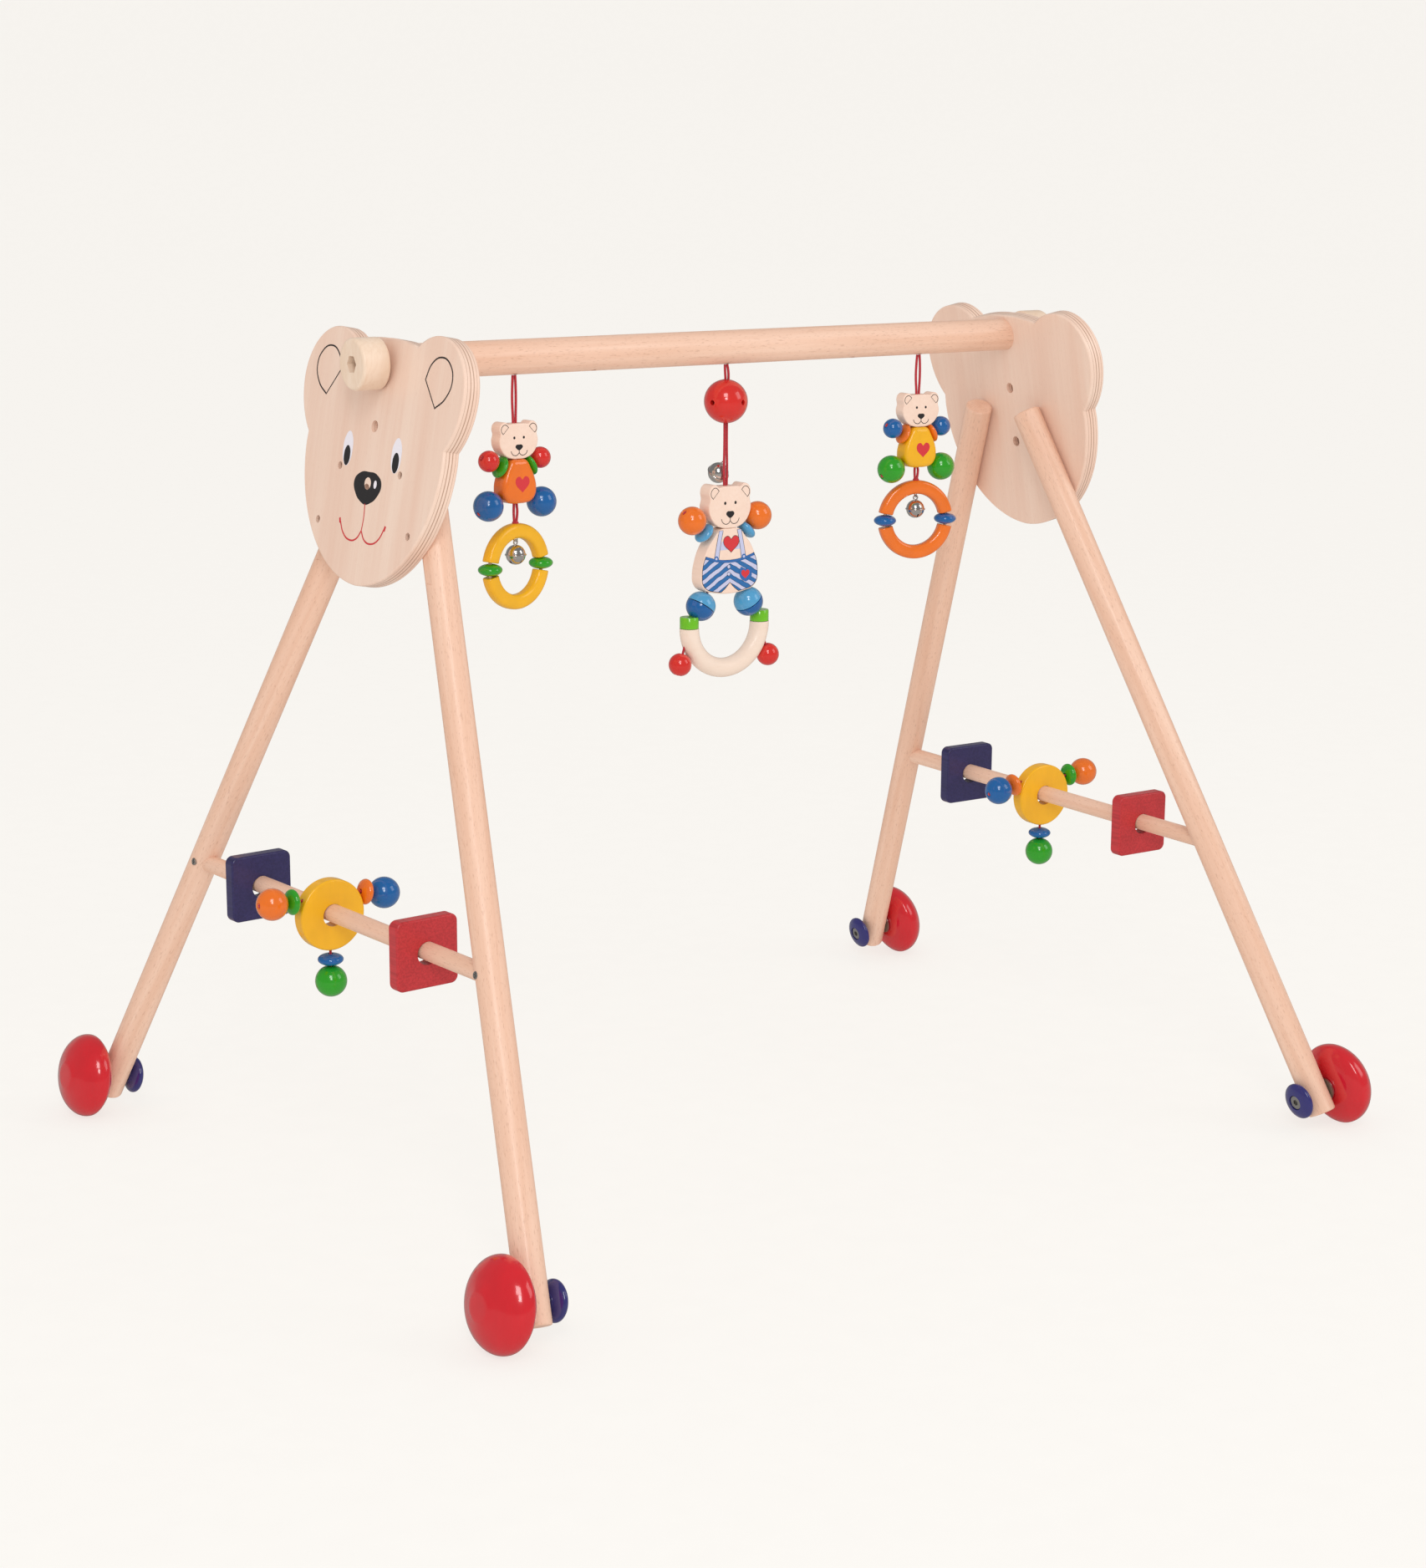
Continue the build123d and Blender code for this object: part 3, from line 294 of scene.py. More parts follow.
def striped_ink(name, light, dark, pitch, slope):
    """Chevron stripes that fall away on both sides of the middle."""
    material, tree, shader = new_material(name, 0.45)

    def worked(operation, *values):
        return add(tree, "ShaderNodeMath", dict(enumerate(values)), operation=operation).outputs[0]

    source = add(tree, "ShaderNodeTexCoord").outputs["Object"]
    parts = add(tree, "ShaderNodeSeparateXYZ", {"Vector": source})
    wobble = noise(tree, coordinates(tree, stretch=(120, 120, 120)), 1.0, 1.0)
    aside = worked("ABSOLUTE", parts.outputs["X"])
    fall = worked("MULTIPLY_ADD", aside, slope, parts.outputs["Y"])
    uneven = worked("MULTIPLY_ADD", wobble, pitch * 0.35, fall)
    phase = worked("FRACT", worked("DIVIDE", uneven, pitch))
    edge = tuple(channel * 0.25 for channel in dark)
    colours = ramp(tree, phase, [(0.0, edge), (0.05, dark), (0.5, edge), (0.55, light)], "CONSTANT")
    tree.links.new(colours, shader.inputs["Base Color"])
    return material


RED = lacquer("red_lacquer", (0.68, 0.008, 0.018))
BEAD_RED = lacquer("bead_red", (0.72, 0.018, 0.012))
HUB_BLUE = lacquer("hub_blue_lacquer", (0.026, 0.024, 0.17))
YELLOW = lacquer("yellow_lacquer", (0.95, 0.48, 0.002), 0.3, 0.5)
ORANGE = lacquer("orange_lacquer", (0.90, 0.18, 0.008))
GREEN = lacquer("green_lacquer", (0.018, 0.36, 0.007))
LIME = lacquer("lime_lacquer", (0.16, 0.56, 0.010))
BLUE = lacquer("blue_lacquer", (0.001, 0.115, 0.38))
LIGHT_BLUE = lacquer("light_blue_lacquer", (0.085, 0.37, 0.66))
CHROME = metal("bell_chrome", (0.82, 0.80, 0.78), 0.12)
STEEL = metal("zinc_steel", (0.55, 0.54, 0.52), 0.32)
CORD = braid("red_braid", (0.62, 0.010, 0.028))
BLACK_INK = ink("black_ink", (0.012, 0.010, 0.012))
LINE_INK = ink("outline_ink", (0.02, 0.014, 0.014))
RED_INK = ink("red_ink", (0.62, 0.02, 0.03))
WHITE_INK = ink("white_ink", (0.78, 0.74, 0.80))
LAVENDER_INK = ink("lavender_ink", (0.50, 0.52, 0.72))
BLUE_INK = ink("blue_ink", (0.015, 0.12, 0.38))
STRIPES = striped_ink("striped_ink", (0.55, 0.55, 0.74), (0.015, 0.14, 0.40), 6.7 * MM, 0.57)


def paint(node, material):
    """Gives a CAD node one material."""
    nodes[node].data.materials.clear()
    nodes[node].data.materials.append(material)


# ---------------------------------------------------------------- shapes

def link(name, data, place, body, material):
    made = bpy.data.objects.new(name, data)
    data.materials.append(material)
    bpy.context.scene.collection.objects.link(made)
    made.matrix_world = place
    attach(made, body)
    return made


def turned(name, profile, place, body, material, start=0.0, end=2 * pi, steps=64):
    """A closed profile of (radius, height) points turned about the place's z axis."""
    whole = end - start >= 2 * pi
    rows = steps if whole else steps + 1
    points = []
    for row in range(rows):
        angle = start + (end - start) * row / steps
        points += [(radius * cos(angle), radius * sin(angle), height) for radius, height in profile]
    count = len(profile)
    faces = []
    for row in range(steps):
        here = row * count
        there = (row + 1) % rows * count
        for i in range(count):
            j = (i + 1) % count
            faces.append((here + i, there + i, there + j, here + j))
    if not whole:
        faces.append(tuple(range(count)))
        faces.append(tuple(reversed(range(steps * count, (steps + 1) * count))))
    mesh = bpy.data.meshes.new(name)
    mesh.from_pydata(points, [], faces)
    mesh.shade_smooth()
    mesh.set_sharp_from_angle(angle=radians(35))
    return link(name, mesh, place, body, material)


def bead_profile(radius, half_length, bore, countersink=0.5 * MM):
    """Half an ellipse from one mouth of the bore to the other, closed along the bore."""
    mouth = bore + countersink
    height = half_length * (1 - (mouth / radius) ** 2) ** 0.5
    steps = 24
    lowest = -height / half_length
    outer = []
    for step in range(steps + 1):
        fraction = lowest - 2 * lowest * step / steps
        turn = pi / 2 * fraction / -lowest
        level = sin(turn) * height
        outer.append((radius * (1 - (level / half_length) ** 2) ** 0.5, level))
    inside = height - countersink
    return [(bore, -inside)] + outer + [(bore, inside)]


def rounded_section(radius, width, depth, power=3.2):
    """The section of a turned ring, centred at a radius: an oval at power 2, squarer above it."""
    steps = 32
    points = []
    for step in range(steps):
        angle = 2 * pi * step / steps
        across = abs(cos(angle)) ** (2 / power) * (1 if cos(angle) >= 0 else -1)
        up = abs(sin(angle)) ** (2 / power) * (1 if sin(angle) >= 0 else -1)
        points.append((radius + across * width / 2, up * depth / 2))
    return points


def bezier(data, points, closed=True, corners=()):
    """A smooth spline through (x, y) points; the points numbered in corners stay sharp."""
    spline = data.splines.new("BEZIER")
    spline.bezier_points.add(len(points) - 1)
    spline.use_cyclic_u = closed
    for number, (control, point) in enumerate(zip(spline.bezier_points, points)):
        control.co = (point[0], point[1], 0)
        kind = "VECTOR" if number in corners else "AUTO"
        control.handle_left_type = kind
        control.handle_right_type = kind


def flat_curve(name, loops, corners=()):
    data = bpy.data.curves.new(name, "CURVE")
    data.dimensions = "2D"
    data.fill_mode = "BOTH"
    data.resolution_u = 12
    for loop in loops:
        bezier(data, loop, corners=corners)
    return data


def board(name, outline, thickness, edge, place, body, material):
    """A flat piece of wood with rounded edges, drawn as seen from its front."""
    data = flat_curve(name, [outline])
    data.extrude = thickness / 2 - edge
    data.bevel_depth = edge
    data.bevel_resolution = 4
    data.offset = -edge
    return link(name, data, place, body, material)


INK_HALF_THICKNESS = 0.02 * MM
INK_LAYER = 0.05 * MM           # how much higher each layer of ink lies than the one under it


def printed(name, loops, place, body, material, corners=(), layer=1):
    """A flat print: outlines, the second and later ones cut out of the first."""
    data = flat_curve(name, loops, corners)
    data.extrude = INK_HALF_THICKNESS
    lift = Matrix.Translation((0, 0, layer * INK_LAYER))
    return link(name, data, place @ lift, body, material)


def drawn(name, points, width, place, body, material, closed=False, corners=(), layer=2):
    """A printed line of one width."""
    data = bpy.data.curves.new(name, "CURVE")
    data.dimensions = "3D"
    data.resolution_u = 10
    data.bevel_depth = width / 2
    data.bevel_resolution = 2
    data.use_fill_caps = True
    bezier(data, points, closed, corners)
    flatten = Matrix.Translation((0, 0, layer * INK_LAYER)) @ Matrix.Diagonal((1, 1, 0.1, 1))
    return link(name, data, place @ flatten, body, material)


def in_mm(points):
    return [(x * MM, y * MM) for x, y in points]


def symmetric(half):
    """A whole outline from its right half, given from the top middle to the bottom middle."""
    left = [(-x, y) for x, y in reversed(half) if x > 0]
    return in_mm(half + left)


def oval(x, y, across, up):
    """Eight points round an ellipse of half widths across and up."""
    angles = [2 * pi * i / 8 for i in range(8)]
    return in_mm([(x + across * cos(angle), y + up * sin(angle)) for angle in angles])


def heart(x, y, width, height):
    """A heart about its middle; its first and fourth points are its notch and its tip."""
    shape = [(0, 0.30), (0.25, 0.5), (0.5, 0.22), (0, -0.5), (-0.5, 0.22), (-0.25, 0.5)]
    return in_mm([(x + u * width, y + v * height) for u, v in shape])


HEART_CORNERS = (0, 3)


# ---------------------------------------------------------------- camera

CAMERA_YAW = -0.625

camera_data = bpy.data.cameras.new("camera")
camera_data.lens = 66.5
camera_data.sensor_width = 36.0
camera = bpy.data.objects.new("camera", camera_data)
bpy.context.scene.collection.objects.link(camera)
camera.location = (-1.1777, HUB.y - 1.6183, HUB.z + 0.1409)
camera.rotation_mode = "XYZ"
camera.rotation_euler = Euler((pi / 2 - 0.22, -0.005, CAMERA_YAW))
bpy.context.scene.camera = camera

# ---------------------------------------------------------------- cords

CORD_DIAMETER = 1.8 * MM


def cord_curve(name, points, place, body):
    """A round cord through control points given in millimetres about its place."""
    data = bpy.data.curves.new(name, "CURVE")
    data.dimensions = "3D"
    data.resolution_u = 10
    data.bevel_depth = CORD_DIAMETER / 2
    data.bevel_resolution = 4
    data.use_fill_caps = True
    spline = data.splines.new("NURBS")
    spline.points.add(len(points) - 1)
    for control, point in zip(spline.points, points):
        control.co = (point[0] * MM, point[1] * MM, point[2] * MM, 1.0)
    spline.order_u = 3
    spline.use_endpoint_u = True
    return link(name, data, place, body, CORD)


def length_of(made):
    """The length of a curve's own line."""
    bare = made.data.copy()
    bare.bevel_depth = 0.0
    probe = bpy.data.objects.new("probe", bare)
    line = bpy.data.meshes.new_from_object(probe)
    ends = [[line.vertices[index].co for index in edge.vertices] for edge in line.edges]
    total = sum((first - last).length for first, last in ends)
    bpy.data.meshes.remove(line)
    bpy.data.objects.remove(probe)
    bpy.data.curves.remove(bare)
    return total


def hanging_cord(name, points, place, body):
    """A cord through points from the mouth it comes out of."""
    made = cord_curve(name, points, place, body)
    length_of(made)
    return made


def knot(name, place, body, size):
    """A tight overhand knot: a lumpy little ball."""
    profile = bead_profile(size * MM, size * 0.85 * MM, 0.3 * MM, 0.1 * MM)
    return turned(name, profile, place, body, CORD, steps=20)


# turns in degrees about the cord; tops in millimetres below the crossbar's axis; spread of the two
# strands where they leave the crossbar, in millimetres from the middle
SIDE_TOYS = {
    "left_toy": {"turn": 5.0, "ring_turn": 13.0, "head_top": 41.4, "ring_top": 108.4, "spread": 1.3,
                 "torso": ORANGE, "arm_ball": BEAD_RED, "arm_lens": GREEN, "leg_ball": BLUE,
                 "ring": YELLOW, "ring_bead": GREEN},
    "right_toy": {"turn": -5.0, "ring_turn": -17.0, "head_top": 38.5, "ring_top": 101.8, "spread": 1.5,
                  "torso": YELLOW, "arm_ball": BLUE, "arm_lens": ORANGE, "leg_ball": GREEN,
                  "ring": ORANGE, "ring_bead": BLUE}}

for toy, look in SIDE_TOYS.items():
    place = toy_place(toy, look["turn"])
    top = look["head_top"]
    ring_top = look["ring_top"]
    spread = look["spread"]
    for word, side in SIDES.items():
        route = [
            (side * 0.95, 0, -11.5), (side * spread, 0, -16), (side * spread * 1.25, 0.2, -28),
            (side * 0.95, 0, -top), (side * 0.95, 0, -top - 27), (side * 0.95, 0, -top - 54),
            (side * 1.7, -0.4, -ring_top + 7), (side * 0.95, 0, -ring_top + 1.5)]
        hanging_cord(f"{toy}_strand_{word}", route, place, toy)
    knot(f"{toy}_ring_knot", place @ Matrix.Translation((0, 0, -ring_top * MM)), toy, 2.3)
    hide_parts(f"{toy}_cord")

centre = toy_place("centre_toy")
for word, side in SIDES.items():
    route = [
        (side * 0.95, 0, -11.5), (side * 1.5 + 0.6, 0, -16), (0.95 + side * 1.2, 0, -22),
        (side * 0.95, 0, -38), (side * 0.95, 0, -53), (side * 0.95, 0, -68), (side * 1.4, 0, -84),
        (side * 0.95, 0, -94), (side * 0.95, 0, -118), (side * 0.95, 0, -140), (side * 0.95, 0, -161)]
    strand = hanging_cord(f"centre_toy_strand_{word}", route, centre, "centre_toy")
    if side < 0:
        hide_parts("centre_toy_cord")

# ---------------------------------------------------------------- CAD nodes that keep their shape

LEGS = [(end, word) for end in SIDES for word in ("front", "back")]
for number, (end, word) in enumerate(LEGS):
    node = f"{end}_{word}_leg"
    low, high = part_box(node)
    size = high - low
    slant = Vector((size.x * -SIDES[end], size.y * (1 if word == "front" else -1), size.z)).normalized()
    paint(node, beech(f"{node}_beech", slant, (number * 0.37, number * 0.21, number * 0.53)))
paint("crossbar", beech("crossbar_beech", (1, 0, 0), (0.3, 0.1, 0.7)))
for end in SIDES:
    level = BACKWARD if end == "right" else mirrored(BACKWARD)
    paint(f"{end}_rail", beech(f"{end}_rail_beech", level, (0.9, 0.4, 0.2)))
    paint(f"{end}_bear_plate", plywood(f"{end}_plywood", plate_face(end)))
    maple = natural_wood(f"{end}_knob_maple", (0.3, 0.0, 1.0), (0.93, 0.76, 0.62), (0.78, 0.56, 0.40))
    paint(f"{end}_knob", maple)
    paint(f"{end}_knob_bolt", STEEL)
    navy = stained(f"{end}_navy_stain", (0.030, 0.024, 0.12), (0.010, 0.008, 0.05), level)
    paint(f"{end}_blue_square", navy)
    red = stained(f"{end}_red_stain", (0.60, 0.028, 0.036), (0.30, 0.010, 0.014), level)
    paint(f"{end}_red_square", red)
    paint(f"{end}_spinner_disc", YELLOW)
    for word in ("front", "back"):
        paint(f"{end}_{word}_wheel", RED)
        paint(f"{end}_{word}_hub_disc", HUB_BLUE)
        paint(f"{end}_{word}_axle_screw", STEEL)
for node in ("frame_fasteners", "crossbar_inserts"):
    paint(node, STEEL)
for toy in ("left_toy", "centre_toy", "right_toy"):
    paint(f"{toy}_bell", CHROME)
paint("centre_toy_top_bead", BEAD_RED)

# ---------------------------------------------------------------- the bear printed on each plate

HOLE_PITCH = 40.3               # between the height holes


def plate_print(end):
    """Eyes, ears, nose and mouth, in millimetres from the knob's axis on the plate's outer face."""
    face = plate_face(end)

    def both(part, build):
        for word, side in SIDES.items():
            build(f"{end}_plate_{part}_{word}", side)

    def eye_white(name, side):
        printed(name, [oval(side * 29, -60.5, 5.7, 11.2)], face, "frame", WHITE_INK)

    def pupil(name, side):
        printed(name, [oval(side * 29, -65, 3.7, 6.5)], face, "frame", BLACK_INK, layer=2)

    def ear_line(name, side):
        ear = ((50, -11), (55, -1), (65, 3.5), (75.5, -0.5), (80, -10), (75, -21), (64.5, -28))
        points = in_mm([(side * x, y) for x, y in ear])
        drawn(name, points, 1.05 * MM, face, "frame", LINE_INK, closed=True, corners=(0, 6))

    def lip(name, side):
        lower_lip = ((0, -111), (5, -116.5), (13, -118), (21, -114.5), (27, -106))
        points = in_mm([(side * x, y) for x, y in lower_lip])
        drawn(name, points, 1.1 * MM, face, "frame", RED_INK, corners=(0,))

    def dimple(name, side):
        points = in_mm([(side * 26.4, -108.3), (side * 27.4, -105.2)])
        drawn(name, points, 1.9 * MM, face, "frame", RED_INK)

    both("eye_white", eye_white)
    both("pupil", pupil)
    both("ear_line", ear_line)
    both("lip", lip)
    both("dimple", dimple)
    groove = in_mm([(0, -93.5), (0.8, -102), (0, -111)])
    drawn(f"{end}_plate_lip_middle", groove, 0.9 * MM, face, "frame", RED_INK)
    nose = symmetric([(0, -73.2), (10, -74.3), (16.2, -80), (12.5, -88.3), (5, -93), (0, -94.2)])
    lowest_hole = oval(0, -2 * HOLE_PITCH, 3.8, 3.9)
    printed(f"{end}_plate_nose", [nose, lowest_hole], face, "frame", BLACK_INK)
    printed(f"{end}_plate_nose_glint", [oval(9.0, -80.5, 1.7, 2.6)], face, "frame", WHITE_INK, layer=2)


for end in SIDES:
    plate_print(end)

# ---------------------------------------------------------------- arms of the spinning discs

SPINNER_RADIUS = 23.7 * MM
BEAD_BORE = 1.5 * MM            # radius
LENS = bead_profile(8.5 * MM, 4.0 * MM, BEAD_BORE)
BALL = bead_profile(10.5 * MM, 10.5 * MM, BEAD_BORE, 0.9 * MM)
# the cord from inside the disc to the knot in the ball's bore, as (radius, distance from the rim)
ARM_CORD = in_mm([(0, -4), (0.9, -4), (0.9, 29.4), (1.4, 29.9), (1.4, 31.2), (0.7, 31.9), (0, 31.9)])
LENS_FROM_RIM = 7.0 * MM
BALL_FROM_RIM = 21.7 * MM
# name, angle of the hole in the rim, angle of the arm, colours of lens and ball
SPINNER_ARMS = (
    ("outer", 30.0, 3.0, GREEN, ORANGE),
    ("inner", 150.0, 191.0, ORANGE, BLUE),
    ("lower", -90.0, -90.0, BLUE, GREEN))

for end, sign in SIDES.items():
    centre_point = Vector(joints[f"{end}_spinner_spin"]["pos_m"])
    axis = Vector(joints[f"{end}_spinner_spin"]["axis"])
    level_out = axis.cross(Vector((0, 0, 1))).normalized()
    if level_out.x * sign < 0:
        level_out = -level_out
    body = f"{end}_spinner"
    for word, hole_angle, arm_angle, lens_colour, ball_colour in SPINNER_ARMS:
        hole = level_out * cos(radians(hole_angle)) + Vector((0, 0, sin(radians(hole_angle))))
        arm = level_out * cos(radians(arm_angle)) + Vector((0, 0, sin(radians(arm_angle))))
        root = centre_point + hole * SPINNER_RADIUS
        for shape, distance, profile, material in (
                ("lens", LENS_FROM_RIM, LENS, lens_colour), ("ball", BALL_FROM_RIM, BALL, ball_colour)):
            spot = along(root + arm * distance, arm)
            turned(f"{body}_{word}_{shape}", profile, spot, body, material)
        turned(f"{body}_{word}_cord", ARM_CORD, along(root, arm), body, CORD, steps=16)
    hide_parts(f"{end}_spinner_beads")
    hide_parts(f"{end}_spinner_cords")

# ---------------------------------------------------------------- wood of the hanging toys

TOY_WOOD = natural_wood("toy_wood", (0, 0, 1))
HEAD_HALF_WIDTH = 36.5 / 2
HEAD_HEIGHT = 30.6
# the right half of a head with its ear, in half widths and heights from the middle of its top
HALF_HEAD = [
    (0, -0.05), (0.34, -0.052), (0.50, -0.062), (0.66, 0.0), (0.86, -0.035), (0.965, -0.17),
    (0.93, -0.34), (0.985, -0.50), (0.90, -0.72), (0.66, -0.90), (0.34, -0.985), (0, -1)]


def bear_head(toy, place, across, up, thickness, top):
    """A flat head and its printed face, drawn at the centre toy's size and scaled across and up."""
    width = HEAD_HALF_WIDTH * across
    height = HEAD_HEIGHT * up
    outline = symmetric([(x * width, y * height) for x, y in HALF_HEAD])
    front = printed_on(place, thickness) @ Matrix.Translation((0, -top * MM, 0))
    middle = front @ Matrix.Translation((0, 0, -thickness / 2))
    made = board(f"{toy}_head_wood", outline, thickness, 0.9 * MM, middle, toy, TOY_WOOD)
    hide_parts(f"{toy}_head")

    def spot(points):
        return in_mm([(x * across, y * up) for x, y in points])

    nose = [(0, -18.7), (2.4, -18.9), (3.4, -20.4), (2.0, -22.4), (0, -23.4)]
    nose += [(-x, y) for x, y in reversed(nose[1:-1])]
    printed(f"{toy}_nose", [spot(nose)], front, toy, BLACK_INK)
    drawn(f"{toy}_lip_middle", spot([(0, -23.2), (0, -25.4)]), 0.5 * MM, front, toy, LINE_INK)
    lip = ((0, -25.4), (2.0, -27.3), (4.6, -27.4), (6.6, -26.0), (7.6, -23.8))
    ear = ((9.6, -4.2), (12.6, -2.0), (15.6, -3.6), (16.3, -7.0), (14.6, -9.6))
    for word, side in SIDES.items():
        eye = [(side * 4.4 + 0.95 * cos(i * pi / 4), -13 + 1.15 * sin(i * pi / 4)) for i in range(8)]
        printed(f"{toy}_eye_{word}", [spot(eye)], front, toy, BLACK_INK)
        lip_line = spot([(side * x, y) for x, y in lip])
        drawn(f"{toy}_lip_{word}", lip_line, 0.45 * MM, front, toy, LINE_INK)
        ear_line = spot([(side * x, y) for x, y in ear])
        drawn(f"{toy}_ear_{word}", ear_line, 0.4 * MM, front, toy, LINE_INK, closed=True, corners=(0, 4))


LIMB_KNOT = 1.45                # radius of the knot in the last bead of a limb


def limb(toy, place, name, root, direction, pieces):
    """Beads threaded outwards from a root (out, down), with the knot of their cord at the end."""
    for word, side in SIDES.items():
        outward = Vector((side * direction[0], 0, direction[1])).normalized()
        at = Vector((side * root[0], 0, -root[1]))
        for number, (profile, length, material) in enumerate(pieces):
            where = place @ along((at + outward * (length / 2)) * MM, outward)
            turned(f"{toy}_{word}_{name}_{number}", profile, where, toy, material)
            at += outward * (length + 0.2)
        inner = place @ along((at - outward * 1.6) * MM, outward)
        knot(f"{toy}_{word}_{name}_knot", inner, toy, LIMB_KNOT)


SIDE_HEAD_THICKNESS = 10 * MM
SIDE_TORSO_THICKNESS = 14 * MM
SIDE_TORSO = [
    (0, 0), (4.2, 0), (6.0, -0.6), (9.4, -5.4), (12.4, -12), (13.8, -19), (13.0, -23.8), (9.6, -27.7),
    (4.6, -28.9), (0, -29)]
ARM_LENS = bead_profile(7.5 * MM, 2.6 * MM, BEAD_BORE, 0.3 * MM)
ARM_BALL = bead_profile(7.1 * MM, 7.1 * MM, BEAD_BORE, 0.8 * MM)
LEG_BALL = bead_profile(10.0 * MM, 10.0 * MM, BEAD_BORE, 0.9 * MM)
RING_BEAD = bead_profile(8.1 * MM, 4.1 * MM, 1.25 * MM, 0.3 * MM)
RING_RADIUS = 23.6              # to the middle of the ring's section
RING_WIDTH = 10.0
RING_SECTION = rounded_section(RING_RADIUS * MM, RING_WIDTH * MM, 9 * MM)
RING_PIN = in_mm([(0, -8), (1.2, -8), (1.2, 8), (0, 8)])
RING_GAP = radians(11.5)        # from the pin to the end of each half ring


def ring_staple(name, place, body):
    """The bent wire in the top of a ring that the bell hangs on."""
    wire = bpy.data.curves.new(name, "CURVE")
    wire.dimensions = "3D"
    wire.bevel_depth = 0.4 * MM
    wire.bevel_resolution = 3
    spline = wire.splines.new("POLY")
    spline.points.add(3)
    for control, (y, z) in zip(spline.points, ((-1.6, 21.6), (-1.6, 16.4), (1.6, 16.4), (1.6, 21.6))):
        control.co = (0.0, y * MM, z * MM, 1.0)
    link(name, wire, place, body, STEEL)


for toy, look in SIDE_TOYS.items():
    place = toy_place(toy, look["turn"])
    top = look["head_top"]
    bear_head(toy, place, 0.877, 0.797, SIDE_HEAD_THICKNESS, top)
    torso_top = top + 24.6
    front = printed_on(place, SIDE_TORSO_THICKNESS) @ Matrix.Translation((0, -torso_top * MM, 0))
    middle = front @ Matrix.Translation((0, 0, -SIDE_TORSO_THICKNESS / 2))
    outline = symmetric(SIDE_TORSO)
    torso = board(
        f"{toy}_body_wood", outline, SIDE_TORSO_THICKNESS, 3.2 * MM, middle, toy, look["torso"])
    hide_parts(f"{toy}_torso")
    printed(f"{toy}_heart", [heart(1.0, -16.4, 11.4, 10.6)], front, toy, RED_INK, corners=HEART_CORNERS)
    arm = [(ARM_LENS, 5.2, look["arm_lens"]), (ARM_BALL, 14.2, look["arm_ball"])]
    limb(toy, place, "arm", (9.6, torso_top + 5.7), (0.9, 0.42), arm)
    leg = [(LEG_BALL, 20.0, look["leg_ball"])]
    limb(toy, place, "leg", (13.1, torso_top + 24.8), (0.87, -0.49), leg)
    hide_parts(f"{toy}_limb_beads")

    ring_middle = -(look["ring_top"] + RING_RADIUS + RING_WIDTH / 2) * MM
    ring_place = toy_place(toy, look["ring_turn"]) @ Matrix.Translation((0, 0, ring_middle))
    upright = ring_place @ Matrix.Rotation(pi / 2, 4, "X")
    body = f"{toy}_ring"
    for start, word in ((RING_GAP, "upper"), (RING_GAP + pi, "lower")):
        stop = start + pi - 2 * RING_GAP
        arc = turned(f"{body}_{word}", RING_SECTION, upright, body, look["ring"], start, stop)
        rounding = arc.modifiers.new("rounding", "BEVEL")
        rounding.width = 0.6 * MM
        rounding.segments = 2
        rounding.angle_limit = radians(60)
    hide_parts(body)
    for word, side in SIDES.items():
        spot = ring_place @ Matrix.Translation((side * RING_RADIUS * MM, 0, 0))
        node = f"{body}_bead_{word}"
        bead = turned(f"{node}_wood", RING_BEAD, spot, node, look["ring_bead"])
        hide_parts(node)
        turned(f"{body}_pin_{word}", RING_PIN, spot, body, TOY_WOOD, steps=16)
    ring_staple(f"{body}_staple", ring_place, body)

# ---------------------------------------------------------------- the centre toy

body = "centre_toy"
FLAT_WOOD = 12 * MM             # thickness of the centre toy's head and body
bear_head(body, centre, 1.0, 1.0, FLAT_WOOD, 93.1)
TORSO_TOP = 123.9
TORSO = [
    (0, 0), (6.5, 0), (9, -0.9), (13.6, -6), (18.6, -12.5), (22.6, -22), (24.4, -32), (23.6, -38),
    (19.5, -42.4), (13, -44.2), (6.5, -45.2), (0, -45.5)]
front = printed_on(centre, FLAT_WOOD) @ Matrix.Translation((0, -TORSO_TOP * MM, 0))
middle = front @ Matrix.Translation((0, 0, -FLAT_WOOD / 2))
torso = board("centre_toy_body_wood", symmetric(TORSO), FLAT_WOOD, 1.0 * MM, middle, body, TOY_WOOD)
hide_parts("centre_toy_torso")


def clothing(name, outline, ink, layer, corners=(), line=0.0):
    """A printed shape on the body, with a dark line round it when it has a line width."""
    printed(f"centre_toy_{name}", [outline], front, body, ink, corners=corners, layer=layer)
    if line:
        drawn(f"centre_toy_{name}_line", outline, line * MM, front, body, LINE_INK, closed=True,
              corners=corners, layer=layer + 1)


SHORTS = [
    (0, -22), (8, -21.5), (15, -20.2), (20.6, -18.2), (22.8, -24), (23.6, -32), (22.9, -37.4),
    (18.9, -41.4), (12.7, -43.2), (7.5, -44.0), (4.0, -41.5), (0, -37.5)]
clothing("shorts", symmetric(SHORTS), STRIPES, 1, corners=(0, 3, 9, 11, 13, 19), line=0.4)
waistband = in_mm([(-20.4, -19.2), (-10, -21.9), (0, -22.8), (10, -21.9), (20.4, -19.2)])
drawn("centre_toy_waistband", waistband, 1.9 * MM, front, body, BLUE_INK, layer=3)
bib = in_mm([(-7, -8.6), (7, -8.6), (9, -14.6), (-9, -14.6)])
clothing("bib", bib, LAVENDER_INK, 1, corners=(0, 1, 2, 3))
STRAP = ((6, -1.0), (9.4, -1.0), (11.6, -11), (13.6, -21), (9.8, -21.6), (8.2, -11))
